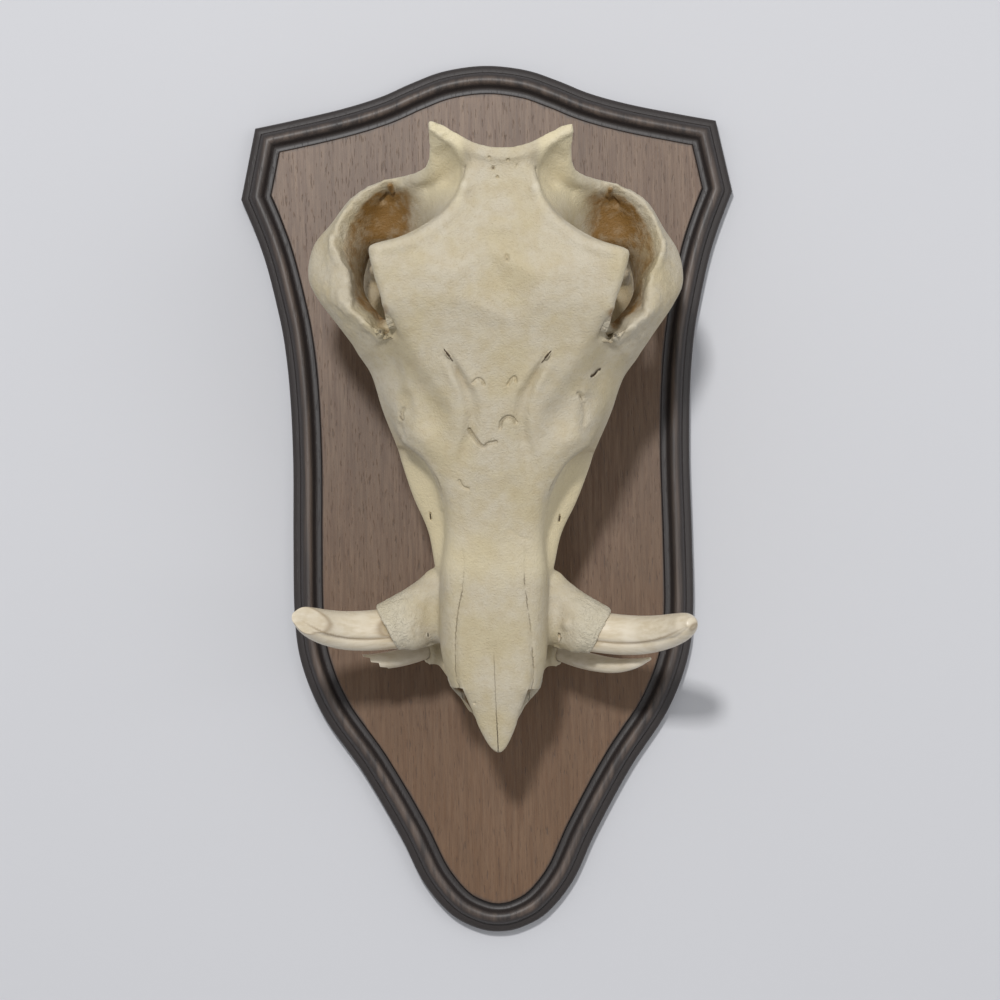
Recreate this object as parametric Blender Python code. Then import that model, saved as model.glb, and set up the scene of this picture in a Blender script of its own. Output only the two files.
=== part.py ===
"""A warthog skull, jaw closed, fixed flat to a shield-shaped wall board.

Frame: the origin is the middle of the board's back, +Z is up and -Y points out from the wall.
Shapes are given in millimetres as (x, out, up): sideways, out from the wall and up the wall.
"Left" and "right" are the viewer's.
"""
import math

import bmesh
import bpy
import numpy as np
from mathutils import Matrix, Vector

# Driving dimensions, millimetres and degrees
MM = 0.001
BOARD_THICKNESS = 19.0
EDGE_MOULDING = 18.3
SKULL_LEAN = 1.9
SKULL_SHIFT = 2.2
NOSE_TURN = 4.0
NOSE_TURN_FROM = 70.0
NOSE_TURN_LENGTH = 76.0
BONE_VOXEL = 2.3
JAW_VOXEL = 2.2
BONE_SMOOTHING = 6
JAW_SMOOTHING = 5
CRANIUM_FACES = 4800
MANDIBLE_FACES = 1500

BONE_COLOUR = (0.52, 0.45, 0.34)
TUSK_COLOUR = (0.66, 0.57, 0.44)
MOLAR_COLOUR = (0.50, 0.42, 0.29)
BOARD_COLOUR = (0.17, 0.11, 0.075)


# Small tools

def point(x, out, up):
    """A place given sideways, out from the wall and up, in millimetres, as scene metres."""
    return Vector((x, -out, up)) * MM


def through(points, count, closed):
    """A smooth Catmull-Rom curve through the points, with count samples."""
    knots = np.asarray(points, float)
    total = len(knots)
    spans = total if closed else total - 1
    steps = np.linspace(0.0, spans, count, endpoint=not closed)
    first = np.minimum(steps.astype(int), spans - 1)
    t = (steps - first).reshape((-1,) + (1,) * (knots.ndim - 1))

    def knot(offset):
        index = first + offset
        if closed:
            return knots[index % total]
        inside = knots[np.clip(index, 0, total - 1)]
        before = (index < 0).reshape(t.shape)
        after = (index > total - 1).reshape(t.shape)
        inside = np.where(before, 2 * knots[0] - knots[1], inside)
        return np.where(after, 2 * knots[-1] - knots[-2], inside)

    a, b, c, d = knot(-1), knot(0), knot(1), knot(2)
    square = 2 * a - 5 * b + 4 * c - d
    cube = 3 * b - a - 3 * c + d
    return 0.5 * (2 * b + (c - a) * t + square * t ** 2 + cube * t ** 3)


def new_object(name, mesh_maker, material=None):
    """An object in the scene from a function that fills a bmesh."""
    shape = bmesh.new()
    mesh_maker(shape)
    bmesh.ops.recalc_face_normals(shape, faces=shape.faces)
    mesh = bpy.data.meshes.new(name)
    shape.to_mesh(mesh)
    shape.free()
    part = bpy.data.objects.new(name, mesh)
    bpy.context.scene.collection.objects.link(part)
    if material:
        mesh.materials.append(material)
    return part


def skin(shape, rings):
    """Bridges neighbouring rings of points with faces and closes both ends."""
    loops = []
    for ring in rings:
        made = bmesh.ops.create_circle(shape, segments=len(ring), radius=1.0)["verts"]
        for vert, place in zip(made, ring):
            vert.co = point(*place)
        edges = [shape.edges.get((made[i - 1], made[i])) for i in range(len(made))]
        loops.append(edges)
    for before, after in zip(loops[:-1], loops[1:]):
        bmesh.ops.bridge_loops(shape, edges=before + after)
    bmesh.ops.contextual_create(shape, geom=loops[0])
    bmesh.ops.contextual_create(shape, geom=loops[-1])


def loft(shape, stations, around=32, along=20, mirrored=False):
    """Skins a body through stations, each a closed loop of (x, out, up) points."""
    loops = np.array([through(station, around, True) for station in stations])
    rings = through(loops, along, False)
    skin(shape, rings)
    if mirrored:
        skin(shape, rings * np.array([-1.0, 1.0, 1.0]))


def half_section(up, pairs):
    """A closed loop across the skull at one height from its right half, mid line to mid line."""
    right = [(x, out, up) for x, out in pairs]
    left = [(-x, out, up) for x, out in reversed(pairs) if x > 0]
    return right + left


def horn(shape, path, radii, around=16, along=14, mirrored=False):
    """A round tapering body along a path."""
    centres = through(path, along, False)
    sizes = through(np.array(radii, float).reshape(-1, 1), along, False)[:, 0]
    directions = np.gradient(centres, axis=0)
    angles = np.linspace(0.0, 2 * math.pi, around, endpoint=False)
    rings = []
    for centre, size, direction in zip(centres, sizes, directions):
        forward = Vector(direction).normalized()
        side = forward.cross(Vector((0, 1, 0)))
        if side.length < 0.2:
            side = forward.cross(Vector((0, 0, 1)))
        side.normalize()
        out = side.cross(forward)
        ring = [Vector(centre) + side * size * math.cos(a) + out * size * math.sin(a) for a in angles]
        rings.append([tuple(p) for p in ring])
    skin(shape, rings)
    if mirrored:
        skin(shape, [[(-x, out, up) for x, out, up in ring] for ring in rings])


def ball(shape, centre, radii, turn=0.0, mirrored=False):
    """An ellipsoid; turn leans it about the way out from the wall, in degrees."""
    size = Matrix.Diagonal(Vector((*radii, 1 / MM)) * MM)
    for side in ((1, -1) if mirrored else (1,)):
        place = Matrix.Translation(point(centre[0] * side, centre[1], centre[2]))
        matrix = place @ Matrix.Rotation(math.radians(turn * side), 4, "Y") @ size
        bmesh.ops.create_uvsphere(shape, u_segments=24, v_segments=16, radius=1.0, matrix=matrix)


def settled(part):
    """Replaces an object's mesh by the mesh that its modifiers give."""
    graph = bpy.context.evaluated_depsgraph_get()
    graph.update()
    mesh = bpy.data.meshes.new_from_object(part.evaluated_get(graph))
    old = part.data
    part.modifiers.clear()
    part.data = mesh
    bpy.data.meshes.remove(old)


def fuse(part, voxel, smoothing):
    """Melts the overlapping lumps of an object into one skin and softens it."""
    remesh = part.modifiers.new("Fuse", "REMESH")
    remesh.mode = "VOXEL"
    remesh.voxel_size = voxel * MM
    soften = part.modifiers.new("Soften", "SMOOTH")
    soften.factor = 0.5
    soften.iterations = smoothing
    settled(part)


def cut(part, name, mesh_maker):
    """Cuts a shape away from an object."""
    cutter = new_object(name, mesh_maker)
    carve = part.modifiers.new(name, "BOOLEAN")
    carve.operation = "DIFFERENCE"
    carve.object = cutter
    settled(part)
    bpy.data.objects.remove(cutter)


def thin_out(part, faces):
    """Brings an object down to about the given number of triangles."""
    triangles = sum(len(polygon.vertices) - 2 for polygon in part.data.polygons)
    thin = part.modifiers.new("Thin out", "DECIMATE")
    thin.ratio = min(1.0, faces / triangles)
    settled(part)


def material(name, colour, roughness):
    """A plain finish."""
    finish = bpy.data.materials.new(name)
    finish.use_nodes = True
    shader = finish.node_tree.nodes["Principled BSDF"]
    shader.inputs["Base Color"].default_value = (*colour, 1.0)
    shader.inputs["Roughness"].default_value = roughness
    shader.inputs["Metallic"].default_value = 0.0
    return finish


# The cranium

FACE_SECTIONS = [
    half_section(-112, [(0, 126.5), (13, 126), (21, 121), (25, 111), (24, 100), (19, 89), (11, 84), (0, 86)]),
    half_section(-90, [(0, 131), (16, 130.5), (25, 126), (30.5, 114), (29, 100), (22, 87), (13, 82), (0, 84)]),
    half_section(-62, [(0, 137.5), (17, 137), (26.5, 133), (31, 120), (31, 105), (26, 89), (15, 81), (0, 84)]),
    half_section(-42, [(0, 142), (17, 141.5), (26, 138), (30, 129), (31, 117), (34, 104), (24, 86), (0, 87)]),
    half_section(-20, [(0, 147), (16, 146.5), (24, 143.5), (27.5, 136), (29.5, 120), (39, 106), (28, 88), (0, 89)]),
    half_section(0, [(0, 153), (17, 153), (26, 150.5), (30, 143), (33, 124), (48, 108), (32, 89), (0, 90)]),
    half_section(20, [(0, 161), (19, 161), (33, 158), (39, 151), (41, 130), (55, 112), (38, 92), (0, 93)]),
    half_section(33, [(0, 166), (22, 166), (43, 162), (53, 149), (55, 133), (58.5, 117), (40, 94), (0, 95)]),
    half_section(50, [(0, 173), (27, 174), (47, 168), (57, 155), (63, 139), (64.5, 124), (42, 98), (0, 97)]),
    half_section(70, [(0, 180.5), (31, 182), (52, 177), (60, 164), (68, 148), (71, 129), (44, 102), (0, 100)]),
    half_section(88, [(0, 188.5), (35, 190.5), (56, 189), (66, 176), (77, 157), (81, 136), (50, 108), (0, 103)]),
    half_section(100, [(0, 194), (38, 197), (58, 192), (64, 168), (70, 148), (66, 128), (40, 108), (0, 104)]),
]

BRAIN_SECTIONS = [
    half_section(84, [(0, 186), (30, 186), (48, 178), (34, 160), (30, 140), (28, 120), (22, 103), (0, 104)]),
    half_section(105, [(0, 196), (40, 198), (54, 194), (38, 175), (31, 150), (27, 125), (20, 98), (0, 104)]),
    half_section(125, [(0, 200), (42, 203), (54, 200), (43, 183), (33, 155), (29, 130), (19, 99), (0, 106)]),
    half_section(142, [(0, 203), (34, 204), (46, 200), (43, 182), (41, 158), (48, 136), (24, 106), (0, 108)]),
    half_section(155, [(0, 204), (24, 204), (34, 198), (38, 179), (44, 154), (55, 133), (26, 110), (0, 109)]),
    half_section(168, [(0, 204), (16, 204), (24, 199), (33, 181), (47, 156), (57, 136), (28, 110), (0, 109)]),
    half_section(178, [(0, 203), (14, 203), (20, 198), (32, 179), (47, 157), (54, 138), (26, 110), (0, 110)]),
    half_section(185, [(0, 200), (12, 200), (18, 196), (27, 178), (34, 155), (28, 128), (18, 112), (0, 112)]),
]

# The forehead plate: (half width, up) around its edge, from the crest down to the nose
PLATE_EDGE = [(14, 193), (18.5, 184), (20.5, 174), (26, 164), (39, 153), (54, 144.5), (70, 139.5), (72.5, 136),
              (69, 124), (64.5, 110), (62.5, 98), (56, 84), (44, 66), (22, 50)]
# Its rings, from underneath over the edge to the middle: (share of the outline, lift above the top line)
PLATE_RINGS = [(0.90, -13.0), (0.985, -9.0), (1.0, -4.0), (0.985, 0.5), (0.93, 2.0), (0.72, 0.2),
               (0.35, -0.6)]
PLATE_CENTRE_UP = 118.0
PLATE_SINK = 0.22
PLATE_SINK_FROM = 94.0
RIM_LIFT = 5.5
RIM_CENTRE_UP = 122.0
RIM_HALF_LENGTH = 42.0
RIM_OUT_AT = 70.0

# The cheek arch, each ring from its rim over the outside, the lower edge and the inside
ARCH_RINGS = [
    [(60, 184, 86), (72, 162, 82), (77, 140, 78), (70, 119, 76), (58, 122, 80), (50, 150, 84)],
    [(72, 181, 97), (84, 164, 98), (91, 143, 98), (84, 116, 92), (72, 122, 96), (66, 152, 102)],
    [(84.5, 172, 108), (95, 159, 111), (102, 140, 113), (94, 111, 107), (80, 117, 110), (75, 144, 113)],
    [(85.5, 163, 124), (98, 155, 126), (107.5, 138, 126), (98, 107, 122), (80, 114, 124), (79, 136, 126)],
    [(91, 158, 140), (98, 151, 141), (104.5, 137, 143), (98, 106, 138), (76, 113, 139), (78, 131, 140)],
    [(90, 156, 154), (93, 150, 155), (95, 136, 156), (92, 108, 151), (68, 113, 151), (74, 131, 152)],
    [(81.5, 157, 168), (84, 150, 169), (85, 136, 170), (81, 112, 164), (60, 114, 162), (67, 133, 163)],
    [(73, 158, 175), (74, 150, 176.5), (73, 136, 177), (70, 116, 172), (54, 116, 167), (60, 137, 169)],
    [(61, 157, 180), (60, 150, 181), (58, 136, 182), (56, 118, 177), (46, 117, 171), (50, 140, 173)],
    [(44, 150, 182), (43, 145, 183), (42, 136, 183), (41, 122, 179), (38, 122, 172), (40, 140, 174)],
]

# The nuchal crest and the back wall: rows of (half width, mid up, tip up, out, half thickness)
CREST_ROWS = [
    (40.0, 190.5, 205.5, 209, 3.4),
    (40.5, 188, 204, 204, 4.6),
    (39.5, 184, 195, 193, 5.0),
    (42, 181, 183.5, 180, 5.0),
    (49.5, 178.5, 179.5, 167, 5.0),
    (59, 177, 178, 155, 5.0),
    (60, 176, 176, 142, 5.0),
    (54, 174, 173, 128, 6.0),
    (44, 172, 170, 112, 6.0),
]
# How far each place along the crest has risen from its middle (0) to its tip (1)
CREST_SWEEP = [(0, 0), (0.2, 0.05), (0.4, 0.19), (0.6, 0.5), (0.8, 0.8), (0.93, 0.94), (1, 1)]
CREST_THINNING = 0.25


# The upper tusks' sheaths: (x, out, up, half height, half depth) at stations from the jaw outward
SHEATH_STATIONS = [(20, 100, -62, 22, 15), (34, 100, -63, 22, 14.5), (40, 101, -67, 19.8, 14.5),
                   (47, 102.5, -70.6, 17.2, 14.3), (54, 104, -73.3, 15.2, 14), (59, 105, -75.2, 13.9, 13.6),
                   (62.5, 105.5, -76.4, 13.2, 13.2)]
SHEATH_SLANT = 0.5 / 32
SHEATH_SLANT_FROM = 30.0

# The top of the skull along its middle: (up, out)
TOP_LINE = [(-143, 114), (-120, 123), (-90, 131), (-60, 138), (-30, 145), (0, 153), (30, 165), (60, 177),
            (90, 189.5), (110, 198), (130, 202.5), (150, 204), (170, 204.5), (190, 204.5), (210, 206)]


def top_line(up):
    """How far the top of the skull stands out from the wall at a height."""
    heights = [row[0] for row in TOP_LINE]
    outs = [row[1] for row in TOP_LINE]
    return float(np.interp(up, heights, outs))


def face(shape):
    """The snout and upper jaw, from the nose to the front of the eye sockets."""
    loft(shape, FACE_SECTIONS, around=40, along=50)


def braincase(shape):
    """The narrow middle between the eye sockets and the braincase behind it."""
    loft(shape, BRAIN_SECTIONS, around=40, along=36)


def forehead_plate(shape):
    """The broad flat forehead, its rims raised above the eye sockets, sinking in towards the nose."""
    right = through(PLATE_EDGE, 44, False)
    outline = [tuple(p) for p in right] + [(-x, up) for x, up in reversed(right)]
    rings = []
    for share, lift in PLATE_RINGS:
        ring = []
        for x, up in outline:
            height = PLATE_CENTRE_UP + (up - PLATE_CENTRE_UP) * share
            beside_eye = max(0.0, 1 - ((height - RIM_CENTRE_UP) / RIM_HALF_LENGTH) ** 2)
            rim = RIM_LIFT * beside_eye * min(1.0, abs(x) / RIM_OUT_AT) ** 1.5
            sink = PLATE_SINK * max(0.0, PLATE_SINK_FROM - height)
            ring.append((x * share, top_line(height) + lift + rim - sink, height))
        rings.append(ring)
    skin(shape, rings)


def crest(shape):
    """The nuchal crest with its swept tips, and the wall that falls from it to the ear openings."""
    rings = []
    steps = np.linspace(-1.0, 1.0, 25)
    sweep = np.interp(np.abs(steps), [row[0] for row in CREST_SWEEP], [row[1] for row in CREST_SWEEP])
    thinning = 1 - CREST_THINNING * steps ** 4
    for half, mid_up, tip_up, out, thick in through(CREST_ROWS, 26, False):
        upper = mid_up + (tip_up - mid_up) * sweep + thick * thinning
        lower = mid_up + (tip_up - mid_up) * sweep - thick * thinning
        back = [(half * step, out, up) for step, up in zip(steps, upper)]
        front = [(half * step, out, up) for step, up in zip(steps, lower)]
        rings.append(back + front[::-1])
    skin(shape, rings)


def nose_tip(shape):
    """The nasal bones running out past the upper jaw to a blunt point."""
    stations = [
        half_section(-96, [(0, 129.5), (16, 129), (22, 124), (20, 116), (10, 112), (0, 112)]),
        half_section(-112, [(0, 126), (14, 125), (18.4, 120), (16, 112.5), (8, 111), (0, 111.5)]),
        half_section(-124, [(0, 122), (11, 121), (15, 117), (12, 110.5), (5, 109.5), (0, 110)]),
        half_section(-136, [(0, 118), (7.5, 117), (10, 114), (8, 109.5), (3, 108.8), (0, 109)]),
        half_section(-143.5, [(0, 115), (4, 114.5), (6, 112.5), (4, 109.5), (2, 109), (0, 109)]),
        half_section(-147.5, [(0, 113), (1.5, 112.7), (2.4, 111.5), (1.5, 110), (0.7, 109.7), (0, 109.7)]),
    ]
    loft(shape, stations, around=24, along=18)


def upper_lip(shape):
    """The premaxillae under the nose opening, meeting in a rounded end."""
    stations = [
        half_section(-92, [(0, 92), (18, 100), (27, 106), (29, 98), (23, 87), (12, 80), (0, 81)]),
        half_section(-109, [(0, 88), (15, 94), (24.5, 103), (27, 98), (22, 86), (12, 79), (0, 80)]),
        half_section(-120, [(0, 86), (10, 89), (18, 95), (20, 90), (17, 82), (9, 78), (0, 79)]),
        half_section(-131, [(0, 85), (6, 87), (11.5, 89), (13, 85), (10, 80), (6, 77.5), (0, 78)]),
        half_section(-137, [(0, 84), (3, 84.5), (6, 84.5), (7, 82.5), (5.5, 80), (3, 79), (0, 79)]),
    ]
    loft(shape, stations, around=24, along=18)


def cheek_arches(shape):
    """Both cheek arches, out over the side lobes and back to the ears."""
    loft(shape, ARCH_RINGS, around=28, along=46, mirrored=True)


def jaw_joint_shelf(shape):
    """The floor behind each eye socket that carries the jaw joint."""
    stations = [
        [(30, 132, 146), (30, 122, 144), (30, 111, 150), (30, 112, 172), (30, 124, 178), (30, 133, 172)],
        [(55, 128, 146), (55, 119, 143), (55, 110, 148), (55, 110, 171), (55, 122, 178), (55, 130, 170)],
        [(76, 126, 144), (78, 118, 142), (78, 110, 146), (76, 110, 163), (76, 120, 168), (75, 128, 160)],
        [(89, 128, 142), (90, 119, 140), (89, 111, 143), (86, 112, 154), (86, 120, 157), (88, 129, 152)],
    ]
    loft(shape, stations, around=20, along=14, mirrored=True)


def tusk_sockets(shape):
    """The flared sheaths of bone that the upper tusks grow from, with slanting rims."""
    angles = np.linspace(0, 2 * math.pi, 24, endpoint=False)
    rings = []
    for x, out, up, tall, deep in through(SHEATH_STATIONS, 16, False):
        slant = SHEATH_SLANT * (x - SHEATH_SLANT_FROM)
        ring = []
        for a in angles:
            ring.append((x + slant * tall * math.sin(a), out + deep * math.cos(a), up + tall * math.sin(a)))
        rings.append(ring)
    skin(shape, rings)
    skin(shape, [[(-x, out, up) for x, out, up in ring] for ring in rings])


def skull_base(shape):
    """Condyles, the processes beside them, the ear bubbles, the palate's ends and the molar sockets."""
    ball(shape, (13, 121, 184), (9.5, 14, 9.5), turn=20, mirrored=True)
    beside_condyle = [(31, 132, 168), (33, 112, 171), (34, 92, 174), (33.5, 70, 176)]
    horn(shape, beside_condyle, [10, 8.5, 6, 2.6], mirrored=True)
    ball(shape, (23, 103, 158), (8, 9, 13), mirrored=True)
    ball(shape, (0, 111, 165), (17, 10, 26))
    horn(shape, [(17, 112, 128), (18, 98, 116), (20, 88, 104)], [8, 6, 4], mirrored=True)
    loft(shape, [
        [(14, 92, 6), (30, 92, 6), (33, 84, 8), (27, 82, 10), (15, 83, 10)],
        [(13, 96, 40), (33, 96, 40), (36, 84, 40), (30, 80.5, 40), (14, 81.5, 40)],
        [(13, 99, 74), (34, 99, 74), (37, 86, 74), (31, 81.5, 74), (14, 82.5, 74)],
        [(14, 102, 96), (31, 102, 96), (33, 92, 95), (28, 87, 94), (16, 87, 94)],
    ], around=20, along=18, mirrored=True)


def cranium_lumps(shape):
    """Every form that the cranium is fused from."""
    face(shape)
    braincase(shape)
    forehead_plate(shape)
    crest(shape)
    nose_tip(shape)
    upper_lip(shape)
    cheek_arches(shape)
    jaw_joint_shelf(shape)
    tusk_sockets(shape)
    skull_base(shape)


def nose_hollow(shape):
    """The nose opening, between the nasal bones and the upper lip."""
    stations = [
        half_section(-60, [(0, 112), (8, 110), (9, 104), (6, 98), (0, 97)]),
        half_section(-95, [(0, 112), (14, 111), (19, 105), (14, 97), (0, 95)]),
        half_section(-112, [(0, 110), (30, 110), (34, 105), (30, 98.5), (0, 92)]),
        half_section(-150, [(0, 108), (34, 108), (40, 101), (34, 93), (0, 91)]),
    ]
    loft(shape, stations, around=20, along=12)


def brain_hollow(shape):
    """The opening for the spinal cord, between the condyles."""
    path = [(0, 137, 205), (0, 137, 180), (0, 140, 160), (0, 145, 145)]
    horn(shape, path, [10.5, 10, 11, 7], around=20, along=10)


def turn_nose(part):
    """The last stretch of the snout turns a little to the viewer's right."""
    for vert in part.data.vertices:
        share = max(0.0, -vert.co.z / MM - NOSE_TURN_FROM) / NOSE_TURN_LENGTH
        vert.co.x += NOSE_TURN * share ** 1.3 * MM


def cranium(finish):
    """The skull proper."""
    part = new_object("cranium", cranium_lumps, finish)
    fuse(part, BONE_VOXEL, BONE_SMOOTHING)
    cut(part, "nose hollow", nose_hollow)
    cut(part, "brain hollow", brain_hollow)
    turn_nose(part)
    thin_out(part, CRANIUM_FACES)
    return part


# The mandible

# The mandible's bodies: (x, out, up, half thickness, half height) from the chin back
JAW_BODY = [(15, 42, -48, 10, 20), (19, 42, -20, 9.5, 21.5), (23, 43, 10, 10.5, 22.5), (28, 43.5, 40, 12, 23),
            (36, 44, 70, 11.5, 23.5), (47, 46, 95, 10, 25), (57, 50, 115, 9, 28)]
# Its rami: (x, out, lowest up, highest up, half thickness) from the board out to the joints
JAW_RAMUS = [(57, 20.5, 112, 143, 3.5), (60, 32, 98, 158, 5.0), (65, 50, 94, 164, 6.2),
             (69, 68, 97, 166, 7.2), (71, 84, 101, 166, 7.5), (71, 95, 107, 167, 7.0), (68, 101, 116, 167, 5.4)]
JAW_RAMUS_FLARE = -4.0 / 80
JAW_LOW_OUT = 20.0


def mandible_lumps(shape):
    """The chin, the two bodies and the two rami."""
    loft(shape, [
        half_section(-128, [(0, 69), (8, 69), (13, 65), (12, 57), (6, 52), (0, 51)]),
        half_section(-112, [(0, 69), (16, 71), (23, 65), (21, 50), (10, 38), (0, 37)]),
        half_section(-94, [(0, 64), (22, 70), (34, 64), (31, 46), (14, 29), (0, 28)]),
        half_section(-76, [(0, 59), (20, 68), (31, 61), (29, 40), (16, 23), (0, 22)]),
        half_section(-56, [(0, 56), (17, 65), (26, 58), (26, 37), (16, 20.5), (0, 21)]),
        half_section(-38, [(0, 50), (15, 62), (24, 55), (25, 36), (17, 20.5), (0, 27)]),
    ], around=28, along=22)
    angles = np.linspace(0, 2 * math.pi, 24, endpoint=False)
    rings = []
    for x, out, up, thick, tall in through(JAW_BODY, 24, False):
        ring = []
        for a in angles:
            rise = tall * math.sin(a) * (1 - 0.12 * math.cos(a) ** 2)
            ring.append((x + thick * math.cos(a), out + rise, up - 0.4 * thick * math.cos(a)))
        rings.append(ring)
    skin(shape, rings)
    skin(shape, [[(-x, out, up) for x, out, up in ring] for ring in rings])
    angles = np.linspace(0, 2 * math.pi, 28, endpoint=False)
    rings = []
    for x, out, low, high, thick in through(JAW_RAMUS, 22, False):
        mid = (low + high) / 2
        reach = (high - low) / 2
        flare = JAW_RAMUS_FLARE * (out - JAW_LOW_OUT)
        ring = []
        for a in angles:
            ring.append((x + thick * math.sin(a) + flare * math.cos(a), out, mid + reach * math.cos(a)))
        rings.append(ring)
    skin(shape, rings)
    skin(shape, [[(-x, out, up) for x, out, up in ring] for ring in rings])
    horn(shape, [(70, 94, 130), (72, 105, 131), (73, 113.5, 133)], [6.5, 5.0, 3.0], mirrored=True)
    ball(shape, (62, 101, 160), (14, 6.5, 7), mirrored=True)
    horn(shape, [(24, 54, -86), (33, 59, -90), (40, 64, -93)], [9, 8.5, 7.5], mirrored=True)


def mandible(finish):
    """The lower jaw."""
    part = new_object("mandible", mandible_lumps, finish)
    fuse(part, JAW_VOXEL, JAW_SMOOTHING)
    thin_out(part, MANDIBLE_FACES)
    return part


# The teeth

UPPER_TUSK_PATH = [(40, 101, -74), (52, 103, -76), (62, 105, -77), (74, 108.5, -78), (86, 114, -77.8),
                   (97, 122.5, -76), (106, 132.5, -73.2), (111.3, 142, -70.6), (114.0, 148.5, -69.2)]
UPPER_TUSK_SIZES = [(10.6, 10.4), (11.6, 11.2), (11.9, 11.4), (11.7, 11.2), (11.2, 10.8), (10.3, 10.2), (9.0, 9.2),
                    (7.0, 7.4), (3.4, 3.8)]
LOWER_TUSK_PATH = [(29, 53, -85), (38, 60, -89.5), (48, 69, -93.3), (60, 79, -96), (72, 88, -97), (83, 96, -95.3),
                   (92, 102, -92)]
LOWER_TUSK_SIZES = [(5.2, 5.8), (5.5, 6.2), (5.4, 6.2), (5.1, 5.8), (4.4, 5.0), (3.0, 3.6), (0.8, 1.0)]
TUSK_SAMPLES = 60
BROKEN_AT = 0.78
SOCKET_GAP = 0.45


def tusk(shape, path, sizes, side, fatter=0.0, along=12, around=12, reach=1.0):
    """One tusk: a tapering body along its path, with a groove down its side; reach cuts it short."""
    kept = int(round(reach * TUSK_SAMPLES))
    picks = np.linspace(0, kept - 1, along).astype(int)
    centres = through(path, TUSK_SAMPLES, False)
    radii = through(sizes, TUSK_SAMPLES, False) + fatter
    directions = np.gradient(centres, axis=0)
    rings = []
    for index in picks:
        forward = Vector(directions[index]).normalized()
        tall_way = forward.cross(Vector((0, 1, 0))).normalized()
        deep_way = tall_way.cross(forward)
        centre = Vector(centres[index])
        tall, deep = radii[index]
        ring = []
        for step in range(around):
            a = 2 * math.pi * step / around
            place = centre + tall_way * tall * math.cos(a) + deep_way * deep * math.sin(a)
            ring.append((place.x * side, place.y, place.z))
        rings.append(ring)
    skin(shape, rings)


# The tooth row: (up, x, half thickness) from front to back
MOLAR_LENGTHS = [(13, 22.5, 5.4), (30, 23.8, 7.0), (50, 25.2, 7.2), (70, 26.8, 6.4), (84, 28.0, 4.6)]
MOLAR_EDGE = 1.5
MOLAR_DISH = 0.5
UPPER_MOLAR_OUT = (78.6, 92.0)
LOWER_MOLAR_OUT = (58.0, 78.1)


def molar(shape, outs, side, fatter=0.0):
    """One long grinding tooth, a block with rounded ends that follows the tooth row."""
    low, high = outs
    rows = through(MOLAR_LENGTHS, 7, False)
    rings = []
    for index, (up, x, half) in enumerate(rows):
        end = fatter if index == len(rows) - 1 else -fatter if index == 0 else 0.0
        half = half + fatter
        bottom = low - fatter
        top = high + fatter
        ring = [(x - half, bottom + MOLAR_EDGE), (x - half, top), (x + half, top)]
        ring += [(x + half, bottom + MOLAR_EDGE), (x + half - MOLAR_EDGE, bottom)]
        ring += [(x, bottom + MOLAR_DISH), (x - half + MOLAR_EDGE, bottom)]
        rings.append([(place * side, out, up + end) for place, out in ring])
    skin(shape, rings)


def teeth(tusk_finish, molar_finish):
    """All eight teeth, in their sockets."""
    pieces = []
    for name, side in (("left", -1), ("right", 1)):
        def upper(shape):
            tusk(shape, UPPER_TUSK_PATH, UPPER_TUSK_SIZES, side, along=13, around=12)

        def lower(shape):
            reach = BROKEN_AT if side < 0 else 1.0
            tusk(shape, LOWER_TUSK_PATH, LOWER_TUSK_SIZES, side, along=10, around=8, reach=reach)

        def upper_row(shape):
            molar(shape, UPPER_MOLAR_OUT, side)

        def lower_row(shape):
            molar(shape, LOWER_MOLAR_OUT, side)

        pieces.append(new_object("upper_tusk_" + name, upper, tusk_finish))
        pieces.append(new_object("lower_tusk_" + name, lower, tusk_finish))
        pieces.append(new_object("upper_molar_" + name, upper_row, molar_finish))
        pieces.append(new_object("lower_molar_" + name, lower_row, molar_finish))
    return pieces


def upper_sockets(shape):
    """The sockets in the cranium, each a little wider than its tooth."""
    for side in (-1, 1):
        tusk(shape, UPPER_TUSK_PATH, UPPER_TUSK_SIZES, side, fatter=SOCKET_GAP, along=13, around=12)
        molar(shape, UPPER_MOLAR_OUT, side, fatter=SOCKET_GAP)


def lower_sockets(shape):
    """The sockets in the mandible."""
    for side in (-1, 1):
        tusk(shape, LOWER_TUSK_PATH, LOWER_TUSK_SIZES, side, fatter=SOCKET_GAP, along=10, around=8)
        molar(shape, LOWER_MOLAR_OUT, side, fatter=SOCKET_GAP)


# The shield board

TOP_EDGE = [(0, 265), (25, 262), (45, 255), (64, 247), (88, 240), (118, 233.5), (141, 229)]
SIDE_EDGE = [(150.3, 185.5), (142.4, 166), (136, 147), (130, 122), (125.5, 98), (122.5, 66), (121.3, 24),
             (122, -24), (122, -70), (118, -100), (105, -132), (82, -166), (60, -205), (46, -234), (30, -253.5),
             (14, -262.5), (0, -265)]
# The routed edge above the square one: (in from the outline, out from the wall)
EDGE_FALL = [(1.0, 11.0), (4.6, 12.0), (6.6, 16.6), (10.2, 18.0), (13.8, 14.6), (17.4, 14.4),
             (EDGE_MOULDING, BOARD_THICKNESS)]
EDGE_SQUARE = 9.5
HANGER_UP = 170.0
HANGER_HEAD = 10.0
HANGER_SHANK = 5.2
HANGER_RUN = 16.0
HANGER_PLAY = 0.4
CHANNEL_OUT = (3.0, 10.0)
NECK_OUT = (-2.0, 5.0)
ENTRY_OUT = (-2.0, 9.6)


def board_outline():
    """The board's outline, clockwise from the top: right half, then its mirror image."""
    top = [tuple(p) for p in through(TOP_EDGE, 9, False)]
    side = [tuple(p) for p in through(SIDE_EDGE, 27, False)]
    right = top + side
    return right + [(-x, up) for x, up in reversed(right) if x > 0.01]


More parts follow.
